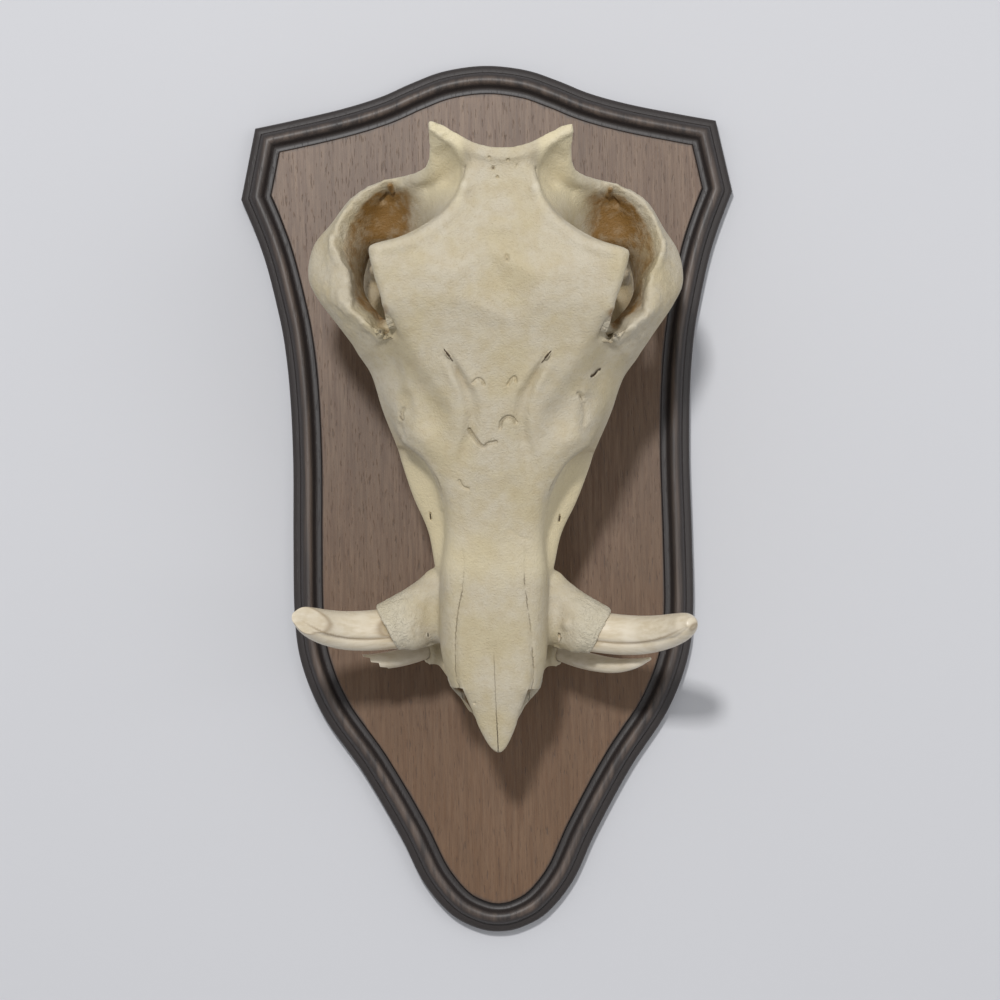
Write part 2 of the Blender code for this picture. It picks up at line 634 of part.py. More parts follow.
def board(shape):
    """The flat board with its square lower edge and the routed moulding above it."""
    corners = [shape.verts.new(point(x, 0, up)) for x, up in board_outline()]
    back = shape.faces.new(corners)
    bmesh.ops.recalc_face_normals(shape, faces=[back])
    raised = bmesh.ops.extrude_face_region(shape, geom=[back])["geom"]
    for vert in [item for item in raised if isinstance(item, bmesh.types.BMVert)]:
        vert.co += point(0, EDGE_SQUARE, 0)
    front = [item for item in raised if isinstance(item, bmesh.types.BMFace)][0]
    bmesh.ops.recalc_face_normals(shape, faces=shape.faces)
    inward, out = 0.0, EDGE_SQUARE
    for next_inward, next_out in EDGE_FALL:
        step = (next_inward - inward) * MM
        bmesh.ops.inset_region(shape, faces=[front], thickness=step, depth=0.0, use_even_offset=True,
                               use_boundary=True)
        for vert in front.verts:
            vert.co += point(0, next_out - out, 0)
        inward, out = next_inward, next_out


def slot_outline(half, run):
    """A slot with round ends, standing upright, as (x, up) points."""
    top = [(half * math.cos(a), run / 2 + half * math.sin(a)) for a in np.linspace(0, math.pi, 7)]
    low = [(half * math.cos(a), -run / 2 + half * math.sin(a)) for a in np.linspace(math.pi, 2 * math.pi, 7)]
    return top + low


def hanger_channel(shape):
    """The hidden channel that a screw head slides up in."""
    outline = slot_outline(HANGER_HEAD / 2, HANGER_RUN)
    skin(shape, [[(x, out, HANGER_UP + up) for x, up in outline] for out in CHANNEL_OUT])


def hanger_neck(shape):
    """The narrow slot in the back that the screw's shank slides up in."""
    outline = slot_outline(HANGER_SHANK / 2, HANGER_RUN)
    skin(shape, [[(x, out, HANGER_UP + up) for x, up in outline] for out in NECK_OUT])


def hanger_entry(shape):
    """The round hole below it that the screw head goes in by."""
    outline = slot_outline(HANGER_HEAD / 2 + HANGER_PLAY, 0.01)
    foot = HANGER_UP - HANGER_RUN / 2
    skin(shape, [[(x, out, foot + up) for x, up in outline] for out in ENTRY_OUT])


def plaque(finish):
    """The stained board that the skull is fixed to."""
    part = new_object("plaque", board, finish)
    cut(part, "hanger entry", hanger_entry)
    cut(part, "hanger channel", hanger_channel)
    cut(part, "hanger neck", hanger_neck)
    return part


def hang_askew(pieces):
    """Leans the whole skull a little and sets it a little right of the board's middle."""
    turn = Matrix.Rotation(math.radians(SKULL_LEAN), 4, "Y")
    shift = Matrix.Translation(point(SKULL_SHIFT, 0, 0))
    for piece in pieces:
        piece.data.transform(shift @ turn)


def build():
    """Models every piece in the scene."""
    bone = material("bone", BONE_COLOUR, 0.6)
    ivory = material("ivory", TUSK_COLOUR, 0.35)
    enamel = material("enamel", MOLAR_COLOUR, 0.5)
    wood = material("wood", BOARD_COLOUR, 0.5)
    skull = cranium(bone)
    jaw = mandible(bone)
    dentition = teeth(ivory, enamel)
    cut(skull, "upper sockets", upper_sockets)
    cut(jaw, "lower sockets", lower_sockets)
    hang_askew([skull, jaw] + dentition)
    plaque(wood)


for existing in list(bpy.data.objects):
    bpy.data.objects.remove(existing)
build()
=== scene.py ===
"""The finish of a warthog skull, jaw closed, fixed flat to a shield-shaped wall board.

Shapes are given in millimetres in the skull's own frame as (x, out, up): sideways, out from the wall
and up the wall. "Left" and "right" are the viewer's.
"""
import math

import bmesh
import bpy
import numpy as np
from mathutils import Matrix, Vector, noise


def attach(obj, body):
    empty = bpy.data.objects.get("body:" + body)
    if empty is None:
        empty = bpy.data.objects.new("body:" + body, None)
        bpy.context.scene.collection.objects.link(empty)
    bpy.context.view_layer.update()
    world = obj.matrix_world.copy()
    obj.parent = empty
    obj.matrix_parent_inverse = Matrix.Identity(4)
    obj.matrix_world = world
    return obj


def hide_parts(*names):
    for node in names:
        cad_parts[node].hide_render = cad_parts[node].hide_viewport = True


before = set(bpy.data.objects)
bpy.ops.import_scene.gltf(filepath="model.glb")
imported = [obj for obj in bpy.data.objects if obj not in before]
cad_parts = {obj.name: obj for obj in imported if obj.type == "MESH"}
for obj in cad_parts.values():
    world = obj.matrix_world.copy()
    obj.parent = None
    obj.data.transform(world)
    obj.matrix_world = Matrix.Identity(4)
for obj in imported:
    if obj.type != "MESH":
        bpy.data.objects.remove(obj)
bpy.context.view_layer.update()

# Millimetres and degrees
MM = 0.001
BOARD_THICKNESS = 19.0
SKULL_LEAN = 1.9
SKULL_SHIFT = 2.2
# The snout's end turns sideways by NOSE_TURN, over a run that starts so far below the middle
NOSE_TURN = 4.0
NOSE_TURN_FROM = 70.0
NOSE_TURN_RUN = 76.0
NOSE_TURN_GROWTH = 1.3
BONE_VOXEL = 1.1
BONE_SMOOTHING = 16
JAW_VOXEL = 1.35
JAW_SMOOTHING = 14
MOST_TRIANGLES = 190000
# Painted on bone: yellower; brown in hollows, stain and painted shade; paler; painted shade in creases, paler
# ridges; porous; painted shade in pits
BONE_STAINS_AND_SHADE = ("warm", "hollow", "pale", "bend", "rough", "pit")


# Small tools

def point(x, out, up):
    """A place given sideways, out from the wall and up, in millimetres, as scene metres."""
    return Vector((x, -out, up)) * MM


def through(points, count, closed):
    """A smooth Catmull-Rom curve through the points, with count samples."""
    knots = np.asarray(points, float)
    total = len(knots)
    spans = total if closed else total - 1
    steps = np.linspace(0.0, spans, count, endpoint=not closed)
    first = np.minimum(steps.astype(int), spans - 1)
    t = (steps - first).reshape((-1,) + (1,) * (knots.ndim - 1))

    def knot(offset):
        index = first + offset
        if closed:
            return knots[index % total]
        inside = knots[np.clip(index, 0, total - 1)]
        before = (index < 0).reshape(t.shape)
        after = (index > total - 1).reshape(t.shape)
        inside = np.where(before, 2 * knots[0] - knots[1], inside)
        return np.where(after, 2 * knots[-1] - knots[-2], inside)

    a, b, c, d = knot(-1), knot(0), knot(1), knot(2)
    square, cube = 2 * a - 5 * b + 4 * c - d, 3 * b - a - 3 * c + d
    return 0.5 * (2 * b + (c - a) * t + square * t ** 2 + cube * t ** 3)


def new_piece(name, mesh_maker):
    """An object in the scene from a function that fills a bmesh."""
    shape = bmesh.new()
    mesh_maker(shape)
    bmesh.ops.recalc_face_normals(shape, faces=shape.faces)
    mesh = bpy.data.meshes.new(name)
    shape.to_mesh(mesh)
    shape.free()
    piece = bpy.data.objects.new(name, mesh)
    bpy.context.scene.collection.objects.link(piece)
    return piece


def closed_loop(shape, places):
    """The edges of a new loop through places in metres."""
    made = bmesh.ops.create_circle(shape, segments=len(places), radius=1.0)["verts"]
    made = sorted(made, key=lambda vert: math.atan2(vert.co.y, vert.co.x))
    for vert, place in zip(made, places):
        vert.co = place
    return [shape.edges.get((made[i - 1], made[i])) for i in range(len(made))]


def skin(shape, rings, mirrored=False):
    """Bridges neighbouring rings of points with faces and closes both ends."""
    loops = [closed_loop(shape, [point(*place) for place in ring]) for ring in rings]
    for before, after in zip(loops[:-1], loops[1:]):
        bmesh.ops.bridge_loops(shape, edges=before + after)
    bmesh.ops.contextual_create(shape, geom=loops[0])
    bmesh.ops.contextual_create(shape, geom=loops[-1])
    if mirrored:
        skin(shape, [[(-x, out, up) for x, out, up in ring] for ring in rings])


def loft(shape, stations, around=44, along=30, mirrored=False):
    """Skins a body through stations, each a closed loop of (x, out, up) points."""
    loops = np.array([through(station, around, True) for station in stations])
    rings = through(loops, along, False)
    skin(shape, rings, mirrored)


def half_section(up, pairs):
    """A closed loop across the skull at one height from its right half, mid line to mid line."""
    right = [(x, out, up) for x, out in pairs]
    left = [(-x, out, up) for x, out in reversed(pairs) if x > 0]
    return right + left


def horn(shape, path, radii, around=24, along=22, mirrored=False):
    """A round tapering body along a path."""
    centres = through(path, along, False)
    sizes = through(np.array(radii, float).reshape(-1, 1), along, False)[:, 0]
    directions = np.gradient(centres, axis=0)
    angles = np.linspace(0.0, 2 * math.pi, around, endpoint=False)
    rings = []
    for centre, size, direction in zip(centres, sizes, directions):
        forward = Vector(direction).normalized()
        side = forward.cross(Vector((0, 1, 0)))
        if side.length < 0.2:
            side = forward.cross(Vector((0, 0, 1)))
        side.normalize()
        out = side.cross(forward)
        ring = [Vector(centre) + side * size * math.cos(a) + out * size * math.sin(a) for a in angles]
        rings.append([tuple(p) for p in ring])
    skin(shape, rings, mirrored)


def ball(shape, centre, radii, turn=0.0, mirrored=False):
    """An ellipsoid; turn leans it about the way out from the wall, in degrees."""
    for side in ((1, -1) if mirrored else (1,)):
        matrix = (Matrix.Translation(point(centre[0] * side, centre[1], centre[2]))
                  @ Matrix.Rotation(math.radians(turn * side), 4, "Y")
                  @ Matrix.Diagonal(Vector((radii[0] * MM, radii[1] * MM, radii[2] * MM, 1.0))))
        bmesh.ops.create_uvsphere(shape, u_segments=32, v_segments=20, radius=1.0, matrix=matrix)


def settled(piece):
    """Replaces a piece's mesh by the mesh that its modifiers give."""
    graph = bpy.context.evaluated_depsgraph_get()
    graph.update()
    mesh = bpy.data.meshes.new_from_object(piece.evaluated_get(graph))
    old = piece.data
    piece.modifiers.clear()
    piece.data = mesh
    bpy.data.meshes.remove(old)


def fuse(piece, voxel, smoothing):
    """Melts the overlapping lumps of a piece into one skin and softens it."""
    remesh = piece.modifiers.new("Fuse", "REMESH")
    remesh.mode = "VOXEL"
    remesh.voxel_size = voxel * MM
    settled(piece)
    smooth = piece.modifiers.new("Soften", "SMOOTH")
    smooth.iterations = smoothing
    settled(piece)


def cut(piece, mesh_maker):
    """Cuts a shape away from a piece."""
    cutter = new_piece("cutter", mesh_maker)
    carve = piece.modifiers.new("Carve", "BOOLEAN")
    carve.operation = "DIFFERENCE"
    carve.object = cutter
    settled(piece)
    bpy.data.objects.remove(cutter)


def thin_out(piece, most):
    """Brings a piece under the given number of triangles, keeping its sharp forms."""
    triangles = sum(len(polygon.vertices) - 2 for polygon in piece.data.polygons)
    if triangles > most:
        thin = piece.modifiers.new("Thin out", "DECIMATE")
        thin.ratio = most / triangles
        settled(piece)


def refine(piece, places, rounds):
    """Splits the faces near the given (x, up, reach) places of the front into finer ones."""
    shape = bmesh.new()
    shape.from_mesh(piece.data)
    for _ in range(rounds):
        shape.normal_update()
        near = {}
        for vert in shape.verts:
            if vert.normal.y > -0.05:
                continue
            x, up = abs(vert.co.x / MM), vert.co.z / MM
            if any(abs(x - px) < reach and abs(up - pz) < reach for px, pz, reach in places):
                near.update(dict.fromkeys(vert.link_edges))
        bmesh.ops.subdivide_edges(shape, edges=list(near), cuts=1, use_grid_fill=True)
    shape.to_mesh(piece.data)
    shape.free()


def ramp(value, start, end):
    """How far a value has come from start (0) to end (1), held between the two."""
    return np.clip((value - start) / (end - start), 0, 1)


def read(items, key, width, kind=np.float32):
    """One property of a mesh's points or edges, as rows of numbers."""
    values = np.empty(len(items) * width, kind)
    items.foreach_get(key, values)
    return values.reshape(-1, width)


def nearest(here, line):
    """How far each place is from a line, how far along it that is (0 to 1), and on which stretch."""
    gap = np.full(len(here), np.inf)
    along = np.zeros(len(here))
    stretch = np.zeros(len(here), int)
    for index, (start, end) in enumerate(zip(line[:-1], line[1:])):
        run = end - start
        share = np.clip((here - start) @ run / max(run @ run, 1e-9), 0, 1)
        off = np.linalg.norm(here - start - share[:, None] * run, axis=1)
        closer = off < gap
        gap[closer] = off[closer]
        along[closer] = (index + share[closer]) / (len(line) - 1)
        stretch[closer] = index
    return gap, along, stretch


def each_side(route, both):
    """A route on the right, and if both its mirror image on the left, each with its side."""
    for side in ((1, -1) if both else (1,)):
        mirror = np.ones(len(route[0]))
        mirror[0] = side
        yield side, np.asarray(route, float) * mirror


class Clay:
    """A piece's points in skull millimetres, moved by soft strokes and painted with stains and painted shade."""

    def __init__(self, piece):
        self.piece = piece
        self.at = read(piece.data.vertices, "co", 3).astype(float) / MM * (1, -1, 1)
        self.faces = read(piece.data.vertex_normals, "vector", 3).astype(float) * (1, -1, 1)
        self.stains_and_shade = {}

    def weight(self, route, reach, front, soft=1.0, taper=0.0):
        """How near each point is to a smooth route of places, 1 on it and 0 beyond its reach.

        A front stroke sees only the points that face the viewer, and measures as the viewer does. A
        taper, as a share of the route, thins the stroke out towards both of its ends.
        """
        route = through(route, 4 * len(route), False) if len(route) > 2 else route
        spot = self.at
        if front:
            spot = spot[:, (0, 2)]
            route = route[:, (0, -1)]
        low = route.min(axis=0) - reach
        high = route.max(axis=0) + reach
        near = np.all((spot > low) & (spot < high), axis=1)
        if front:
            near &= self.faces[:, 1] > 0.12
        picked = np.nonzero(near)[0]
        gap, along, _ = nearest(spot[picked], route if len(route) > 1 else np.repeat(route, 2, axis=0))
        share = np.clip(1 - (gap / reach) ** 2, 0, 1) ** (2 * soft)
        if taper:
            share *= np.clip(np.minimum(along, 1 - along) / taper, 0, 1)
        return picked, share

    def stroke(self, route, reach, amount, way=None, front=True, soft=1.0, both=True, taper=0.0):
        """Moves the skin along a route: out where amount is above 0, in where it is below."""
        for side, line in each_side(route, both):
            picked, share = self.weight(line, reach, front, soft, taper)
            move = self.faces[picked] if way is None else np.array(way, float) * (side, 1, 1)
            self.at[picked] += share[:, None] * amount * move

    def averager(self):
        """A function that gives each point the mean of its neighbours' values."""
        first, second = read(self.piece.data.edges, "vertices", 2, np.int32).T
        count = len(self.at)
        ties = np.maximum(np.bincount(first, minlength=count) + np.bincount(second, minlength=count), 1)

        def average(values):
            total = np.bincount(first, values[second], count) + np.bincount(second, values[first], count)
            return total / ties

        return average

    def relax(self, share, rounds):
        """Smooths the skin where share is above 0."""
        average = self.averager()
        for _ in range(rounds):
            middle = np.column_stack([average(self.at[:, axis]) for axis in range(3)])
            self.at += (middle - self.at) * (0.6 * share)[:, None]

    def cliff(self, route, depth, rise, reach):
        """Sets the skin back beyond a line seen from the front: over the rise at it, fading out at reach.

        The line is given on the right, and the skin to its right, walking along it, stays.
        """
        for side, line in each_side(route, True):
            spot = self.at[:, (0, 2)]
            near = np.all((spot > line.min(axis=0) - reach) & (spot < line.max(axis=0) + reach), axis=1)
            picked = np.nonzero(near & (self.faces[:, 1] > -0.1) & (self.at[:, 1] > 90))[0]
            here = spot[picked]
            gap, along, stretch = nearest(here, line)
            x_off, up_off = (here - line[stretch]).T
            x_run, up_run = np.diff(line, axis=0)[stretch].T
            beyond = np.sign((up_run * x_off - x_run * up_off) * -side) * gap
            ends = ramp(along, 0, 0.12) * ramp(along, 1, 0.85)
            self.at[picked, 1] -= depth * ramp(beyond, 0, rise) * ramp(beyond, reach, 0) ** 1.2 * ends

    def stain_and_shade(self, name, route, reach, amount, front=False, soft=1.0, both=True):
        """Paints a stain or painted shade along a route, into the layer of that name."""
        layer = self.stains_and_shade.setdefault(name, np.zeros(len(self.at)))
        for _, line in each_side(route, both):
            picked, share = self.weight(line, reach, front, soft)
            layer[picked] = np.maximum(layer[picked], share * amount)

    def store(self):
        """Writes the moved points back to the piece."""
        mesh = self.piece.data
        mesh.vertices.foreach_set("co", (self.at * (1, -1, 1) * MM).astype(np.float32).ravel())
        mesh.update()
        for name, layer in self.stains_and_shade.items():
            stored = mesh.attributes.get(name) or mesh.attributes.new(name, "FLOAT", "POINT")
            stored.data.foreach_set("value", layer.astype(np.float32))


# The cranium's lumps

FACE_SECTIONS = [
    half_section(-112, [(0, 126.5), (13, 126), (21, 121), (25, 111), (24, 100), (19, 89), (11, 84), (0, 86)]),
    half_section(-90, [(0, 131), (16, 130.5), (25, 126), (30.5, 114), (29, 100), (22, 87), (13, 82), (0, 84)]),
    half_section(-62, [(0, 137.5), (17, 137), (26.5, 133), (31, 120), (31, 105), (26, 89), (15, 81), (0, 84)]),
    half_section(-42, [(0, 142), (17, 141.5), (26, 138), (30, 129), (31, 117), (34, 104), (24, 86), (0, 87)]),
    half_section(-20, [(0, 147), (16, 146.5), (24, 143.5), (27.5, 136), (29.5, 120), (39, 106), (28, 88),
                       (0, 89)]),
    half_section(0, [(0, 153), (17, 153), (26, 150.5), (30, 143), (33, 124), (48, 108), (32, 89), (0, 90)]),
    half_section(20, [(0, 161), (19, 161), (33, 158), (39, 151), (41, 130), (55, 112), (38, 92), (0, 93)]),
    half_section(33, [(0, 166), (22, 166), (43, 162), (53, 149), (55, 133), (58.5, 117), (40, 94), (0, 95)]),
    half_section(50, [(0, 173), (27, 174), (47, 168), (57, 155), (63, 139), (64.5, 124), (42, 98), (0, 97)]),
    half_section(70, [(0, 180.5), (31, 182), (52, 177), (60, 164), (68, 148), (71, 129), (44, 102), (0, 100)]),
    half_section(88, [(0, 188.5), (35, 190.5), (56, 189), (66, 176), (77, 157), (81, 136), (50, 108), (0, 103)]),
    half_section(100, [(0, 194), (38, 197), (58, 192), (64, 168), (70, 148), (66, 128), (40, 108), (0, 104)]),
]

BRAIN_SECTIONS = [
    half_section(84, [(0, 186), (30, 186), (48, 178), (34, 160), (30, 140), (28, 120), (22, 103), (0, 104)]),
    half_section(105, [(0, 196), (40, 198), (54, 194), (38, 175), (31, 150), (27, 125), (20, 98), (0, 104)]),
    half_section(125, [(0, 200), (42, 203), (54, 200), (43, 183), (33, 155), (29, 130), (19, 99), (0, 106)]),
    half_section(142, [(0, 203), (34, 204), (46, 200), (43, 182), (41, 158), (48, 136), (24, 106), (0, 108)]),
    half_section(155, [(0, 204), (24, 204), (34, 198), (38, 179), (44, 154), (55, 133), (26, 110), (0, 109)]),
    half_section(168, [(0, 204), (16, 204), (24, 199), (33, 181), (47, 156), (57, 136), (28, 110), (0, 109)]),
    half_section(178, [(0, 203), (14, 203), (20, 198), (32, 179), (47, 157), (54, 138), (26, 110), (0, 110)]),
    half_section(185, [(0, 200), (12, 200), (18, 196), (27, 178), (34, 155), (28, 128), (18, 112), (0, 112)]),
]

# The forehead plate: (half width, up) around its edge, from the crest down to the nose
PLATE_EDGE = [(14, 193), (18.5, 184), (20.5, 174), (26, 164), (39, 153), (54, 144.5), (70, 139.5), (72.5, 136),
              (69, 124), (64.5, 110), (62.5, 98), (56, 84), (44, 66), (22, 50)]

PLATE_MIDDLE = 118.0  # the height that the plate's layers draw in to
# The plate's layers from below: (share of the outline, how far out from the skull's top line)
PLATE_LAYERS = [(0.90, -13.0), (0.985, -9.0), (1.0, -4.0), (0.985, 0.5), (0.93, 2.0), (0.72, 0.2), (0.35, -0.6)]

# The cheek arch, each ring from its rim over the outside, the lower edge and the inside
ARCH_RINGS = [
    [(60, 184, 86), (72, 162, 82), (77, 140, 78), (70, 119, 76), (58, 122, 80), (50, 150, 84)],
    [(72, 181, 97), (84, 164, 98), (91, 143, 98), (84, 116, 92), (72, 122, 96), (66, 152, 102)],
    [(84.5, 172, 108), (95, 159, 111), (102, 140, 113), (94, 111, 107), (80, 117, 110), (75, 144, 113)],
    [(85.5, 163, 124), (98, 155, 126), (107.5, 138, 126), (98, 107, 122), (80, 114, 124), (79, 136, 126)],
    [(91, 158, 140), (98, 151, 141), (104.5, 137, 143), (98, 106, 138), (76, 113, 139), (78, 131, 140)],
    [(90, 156, 154), (93, 150, 155), (95, 136, 156), (92, 108, 151), (68, 113, 151), (74, 131, 152)],
    [(81.5, 157, 168), (84, 150, 169), (85, 136, 170), (81, 112, 164), (60, 114, 162), (67, 133, 163)],
    [(73, 158, 175), (74, 150, 176.5), (73, 136, 177), (70, 116, 172), (54, 116, 167), (60, 137, 169)],
    [(61, 157, 180), (60, 150, 181), (58, 136, 182), (56, 118, 177), (46, 117, 171), (50, 140, 173)],
    [(44, 150, 182), (43, 145, 183), (42, 136, 183), (41, 122, 179), (38, 122, 172), (40, 140, 174)],
]

# The nuchal crest and the back wall: rows of (half width, mid up, tip up, out, half thickness)
CREST_ROWS = [
    (40.0, 190.5, 205.5, 209, 3.4),
    (40.5, 188, 204, 204, 4.6),
    (39.5, 184, 195, 193, 5.0),
    (42, 181, 183.5, 180, 5.0),
    (49.5, 178.5, 179.5, 167, 5.0),
    (59, 177, 178, 155, 5.0),
    (60, 176, 176, 142, 5.0),
    (54, 174, 173, 128, 6.0),
    (44, 172, 170, 112, 6.0),
]

# How far each place along the crest has risen from its middle (0) to its tip (1)
CREST_SWEEP = [(0, 0), (0.2, 0.05), (0.4, 0.19), (0.6, 0.5), (0.8, 0.8), (0.93, 0.94), (1, 1)]
CREST_THINNING = 0.25

DORSAL_LINE = [(-143, 114), (-120, 123), (-90, 131), (-60, 138), (-30, 145), (0, 153), (30, 165), (60, 177),
               (90, 189.5), (110, 198), (130, 202.5), (150, 204), (170, 204.5), (190, 204.5), (210, 206)]


def dorsal(up):
    """How far the top of the skull stands out from the wall at a height."""
    return float(np.interp(up, [row[0] for row in DORSAL_LINE], [row[1] for row in DORSAL_LINE]))


def face(shape):
    """The snout and upper jaw, from the nose to the front of the eye sockets."""
    loft(shape, FACE_SECTIONS, around=64, along=90)


def braincase(shape):
    """The narrow middle between the eye sockets and the braincase behind it."""
    loft(shape, BRAIN_SECTIONS, around=64, along=60)


def forehead_plate(shape):
    """The broad flat forehead with the points behind the eye sockets."""
    right = through(PLATE_EDGE, 70, False)
    outline = [tuple(p) for p in right] + [(-x, up) for x, up in reversed(right)]
    rings = []
    for inset, lift in PLATE_LAYERS:
        ring = []
        for x, up in outline:
            height = PLATE_MIDDLE + (up - PLATE_MIDDLE) * inset
            # The raised rims between the eye sockets' points, and the forehead sinking towards the nose
            rim = 5.5 * max(0.0, 1 - ((height - 122.0) / 42.0) ** 2) * min(1.0, abs(x) / 70.0) ** 1.5
            sink = 0.22 * max(0.0, 94.0 - height)
            ring.append((x * inset, dorsal(height) + lift + rim - sink, height))
        rings.append(ring)
    skin(shape, rings)


def crest(shape):
    """The nuchal crest with its swept tips, and the wall that falls from it to the ear openings."""
    rings = []
    steps = np.linspace(-1.0, 1.0, 57)
    sweep = np.interp(np.abs(steps), [row[0] for row in CREST_SWEEP], [row[1] for row in CREST_SWEEP])
    thinning = 1 - CREST_THINNING * steps ** 4
    for half, mid_up, tip_up, out, thick in through(CREST_ROWS, 50, False):
        upper = mid_up + (tip_up - mid_up) * sweep + thick * thinning
        lower = mid_up + (tip_up - mid_up) * sweep - thick * thinning
        back = [(half * step, out, up) for step, up in zip(steps, upper)]
        front = [(half * step, out, up) for step, up in zip(steps, lower)]
        rings.append(back + front[::-1])
    skin(shape, rings)


def nose_tip(shape):
    """The nasal bones running out past the upper jaw to a blunt point."""
    loft(shape, [
        half_section(-96, [(0, 129.5), (16, 129), (22, 124), (20, 116), (10, 112), (0, 112)]),
        half_section(-112, [(0, 126), (14, 125), (18.4, 120), (16, 112.5), (8, 111), (0, 111.5)]),
        half_section(-124, [(0, 122), (11, 121), (15, 117), (12, 110.5), (5, 109.5), (0, 110)]),
        half_section(-136, [(0, 118), (7.5, 117), (10, 114), (8, 109.5), (3, 108.8), (0, 109)]),
        half_section(-143.5, [(0, 115), (4, 114.5), (6, 112.5), (4, 109.5), (2, 109), (0, 109)]),
        half_section(-147.5, [(0, 113), (1.5, 112.7), (2.4, 111.5), (1.5, 110), (0.7, 109.7), (0, 109.7)]),
    ], around=36, along=34)


def upper_lip(shape):
    """The premaxillae under the nose opening, meeting in a rounded end."""
    loft(shape, [
        half_section(-92, [(0, 92), (18, 100), (27, 106), (29, 98), (23, 87), (12, 80), (0, 81)]),
        half_section(-109, [(0, 88), (15, 94), (24.5, 103), (27, 98), (22, 86), (12, 79), (0, 80)]),
        half_section(-120, [(0, 86), (10, 89), (18, 95), (20, 90), (17, 82), (9, 78), (0, 79)]),
        half_section(-131, [(0, 85), (6, 87), (11.5, 89), (13, 85), (10, 80), (6, 77.5), (0, 78)]),
        half_section(-137, [(0, 84), (3, 84.5), (6, 84.5), (7, 82.5), (5.5, 80), (3, 79), (0, 79)]),
    ], around=36, along=30)


def cheek_arches(shape):
    """Both cheek arches, out over the side lobes and back to the ears."""
    loft(shape, ARCH_RINGS, around=44, along=80, mirrored=True)


def jaw_joint_shelf(shape):
    """The floor behind each eye socket that carries the jaw joint."""
    loft(shape, [
        [(30, 132, 146), (30, 122, 144), (30, 111, 150), (30, 112, 172), (30, 124, 178), (30, 133, 172)],
        [(55, 128, 146), (55, 119, 143), (55, 110, 148), (55, 110, 171), (55, 122, 178), (55, 130, 170)],
        [(76, 126, 144), (78, 118, 142), (78, 110, 146), (76, 110, 163), (76, 120, 168), (75, 128, 160)],
        [(89, 128, 142), (90, 119, 140), (89, 111, 143), (86, 112, 154), (86, 120, 157), (88, 129, 152)],
    ], around=30, along=24, mirrored=True)


def tusk_sockets(shape):
    """The flared sheaths of bone that the upper tusks grow from."""
    stations = [
        (20, 100, -62, 22, 15), (34, 100, -63, 22, 14.5), (40, 101, -67, 19.8, 14.5),
        (47, 102.5, -70.6, 17.2, 14.3),
        (54, 104, -73.3, 15.2, 14), (59, 105, -75.2, 13.9, 13.6), (62.5, 105.5, -76.4, 13.2, 13.2),
    ]
    angles = np.linspace(0, 2 * math.pi, 40, endpoint=False)
    rings = []
    for x, out, up, tall, deep in through(stations, 30, False):
        oblique = 0.5 * (x - 30) / 32
        rings.append([(x + oblique * tall * math.sin(a), out + deep * math.cos(a), up + tall * math.sin(a))
                      for a in angles])
    skin(shape, rings, mirrored=True)


def skull_base(shape):
    """Condyles, the processes beside them, the ear bubbles, the palate's ends and the molar sockets."""
    ball(shape, (13, 121, 184), (9.5, 14, 9.5), turn=20, mirrored=True)
    horn(shape, [(31, 132, 168), (33, 112, 171), (34, 92, 174), (33.5, 70, 176)], [10, 8.5, 6, 2.6],
         mirrored=True)
    ball(shape, (23, 103, 158), (8, 9, 13), mirrored=True)
    ball(shape, (0, 111, 165), (17, 10, 26))
    horn(shape, [(17, 112, 128), (18, 98, 116), (20, 88, 104)], [8, 6, 4], mirrored=True)
    loft(shape, [
        [(14, 92, 6), (30, 92, 6), (33, 84, 8), (27, 82, 10), (15, 83, 10)],
        [(13, 96, 40), (33, 96, 40), (36, 84, 40), (30, 80.5, 40), (14, 81.5, 40)],
        [(13, 99, 74), (34, 99, 74), (37, 86, 74), (31, 81.5, 74), (14, 82.5, 74)],
        [(14, 102, 96), (31, 102, 96), (33, 92, 95), (28, 87, 94), (16, 87, 94)],
    ], around=30, along=30, mirrored=True)


def cranium_lumps(shape):
    """Every form that the cranium is fused from."""
    for lump in (face, braincase, forehead_plate, crest, nose_tip, upper_lip, cheek_arches, jaw_joint_shelf,
                 tusk_sockets, skull_base):
        lump(shape)


def nose_hollow(shape):
    """The nose opening, between the nasal bones and the upper lip."""
    loft(shape, [
        half_section(-60, [(0, 112), (8, 110), (9, 104), (6, 98), (0, 97)]),
        half_section(-95, [(0, 112), (14, 111), (19, 105), (14, 97), (0, 95)]),
        half_section(-112, [(0, 110), (30, 110), (34, 105), (30, 98.5), (0, 92)]),
        half_section(-150, [(0, 108), (34, 108), (40, 101), (34, 93), (0, 91)]),
    ], around=32, along=24)


def nose_notches(shape):
    """The notches beside the nasal bones, where the upper jaw's sides stop short of the snout's tip."""
    edge = [(-110, 18.8), (-118, 17.0), (-126, 14.2), (-134, 10.8), (-144, 6.4)]
    for side in (1, -1):
        skin(shape, [[(x * side, 104, up), (36 * side, 104, up), (36 * side, 134, up), (x * side, 134, up)]
                     for up, x in edge])


def brain_hollow(shape):
    """The opening for the spinal cord, between the condyles."""
    horn(shape, [(0, 137, 205), (0, 137, 180), (0, 140, 160), (0, 145, 145)], [10.5, 10, 11, 7], around=32,
         along=20)


def turned_nose(at):
    """The last stretch of the snout turns a little to the viewer's right."""
    along = np.clip(-at[:, 2] - NOSE_TURN_FROM, 0, None) / NOSE_TURN_RUN
    at[:, 0] += NOSE_TURN * along ** NOSE_TURN_GROWTH


# Where the cranium's front carries small sharp forms: (x, up, reach)
FINE_PLACES = [(27.5, 79, 5), (55.5, 72, 5), (37.5, -11, 5), (65.7, 92, 5), (62, 174, 6), (8, 37, 9), (10, 65, 5),
               (18, 7, 4), (5, 133, 4), (3, 183, 6), (12.4, -118.5, 3)]


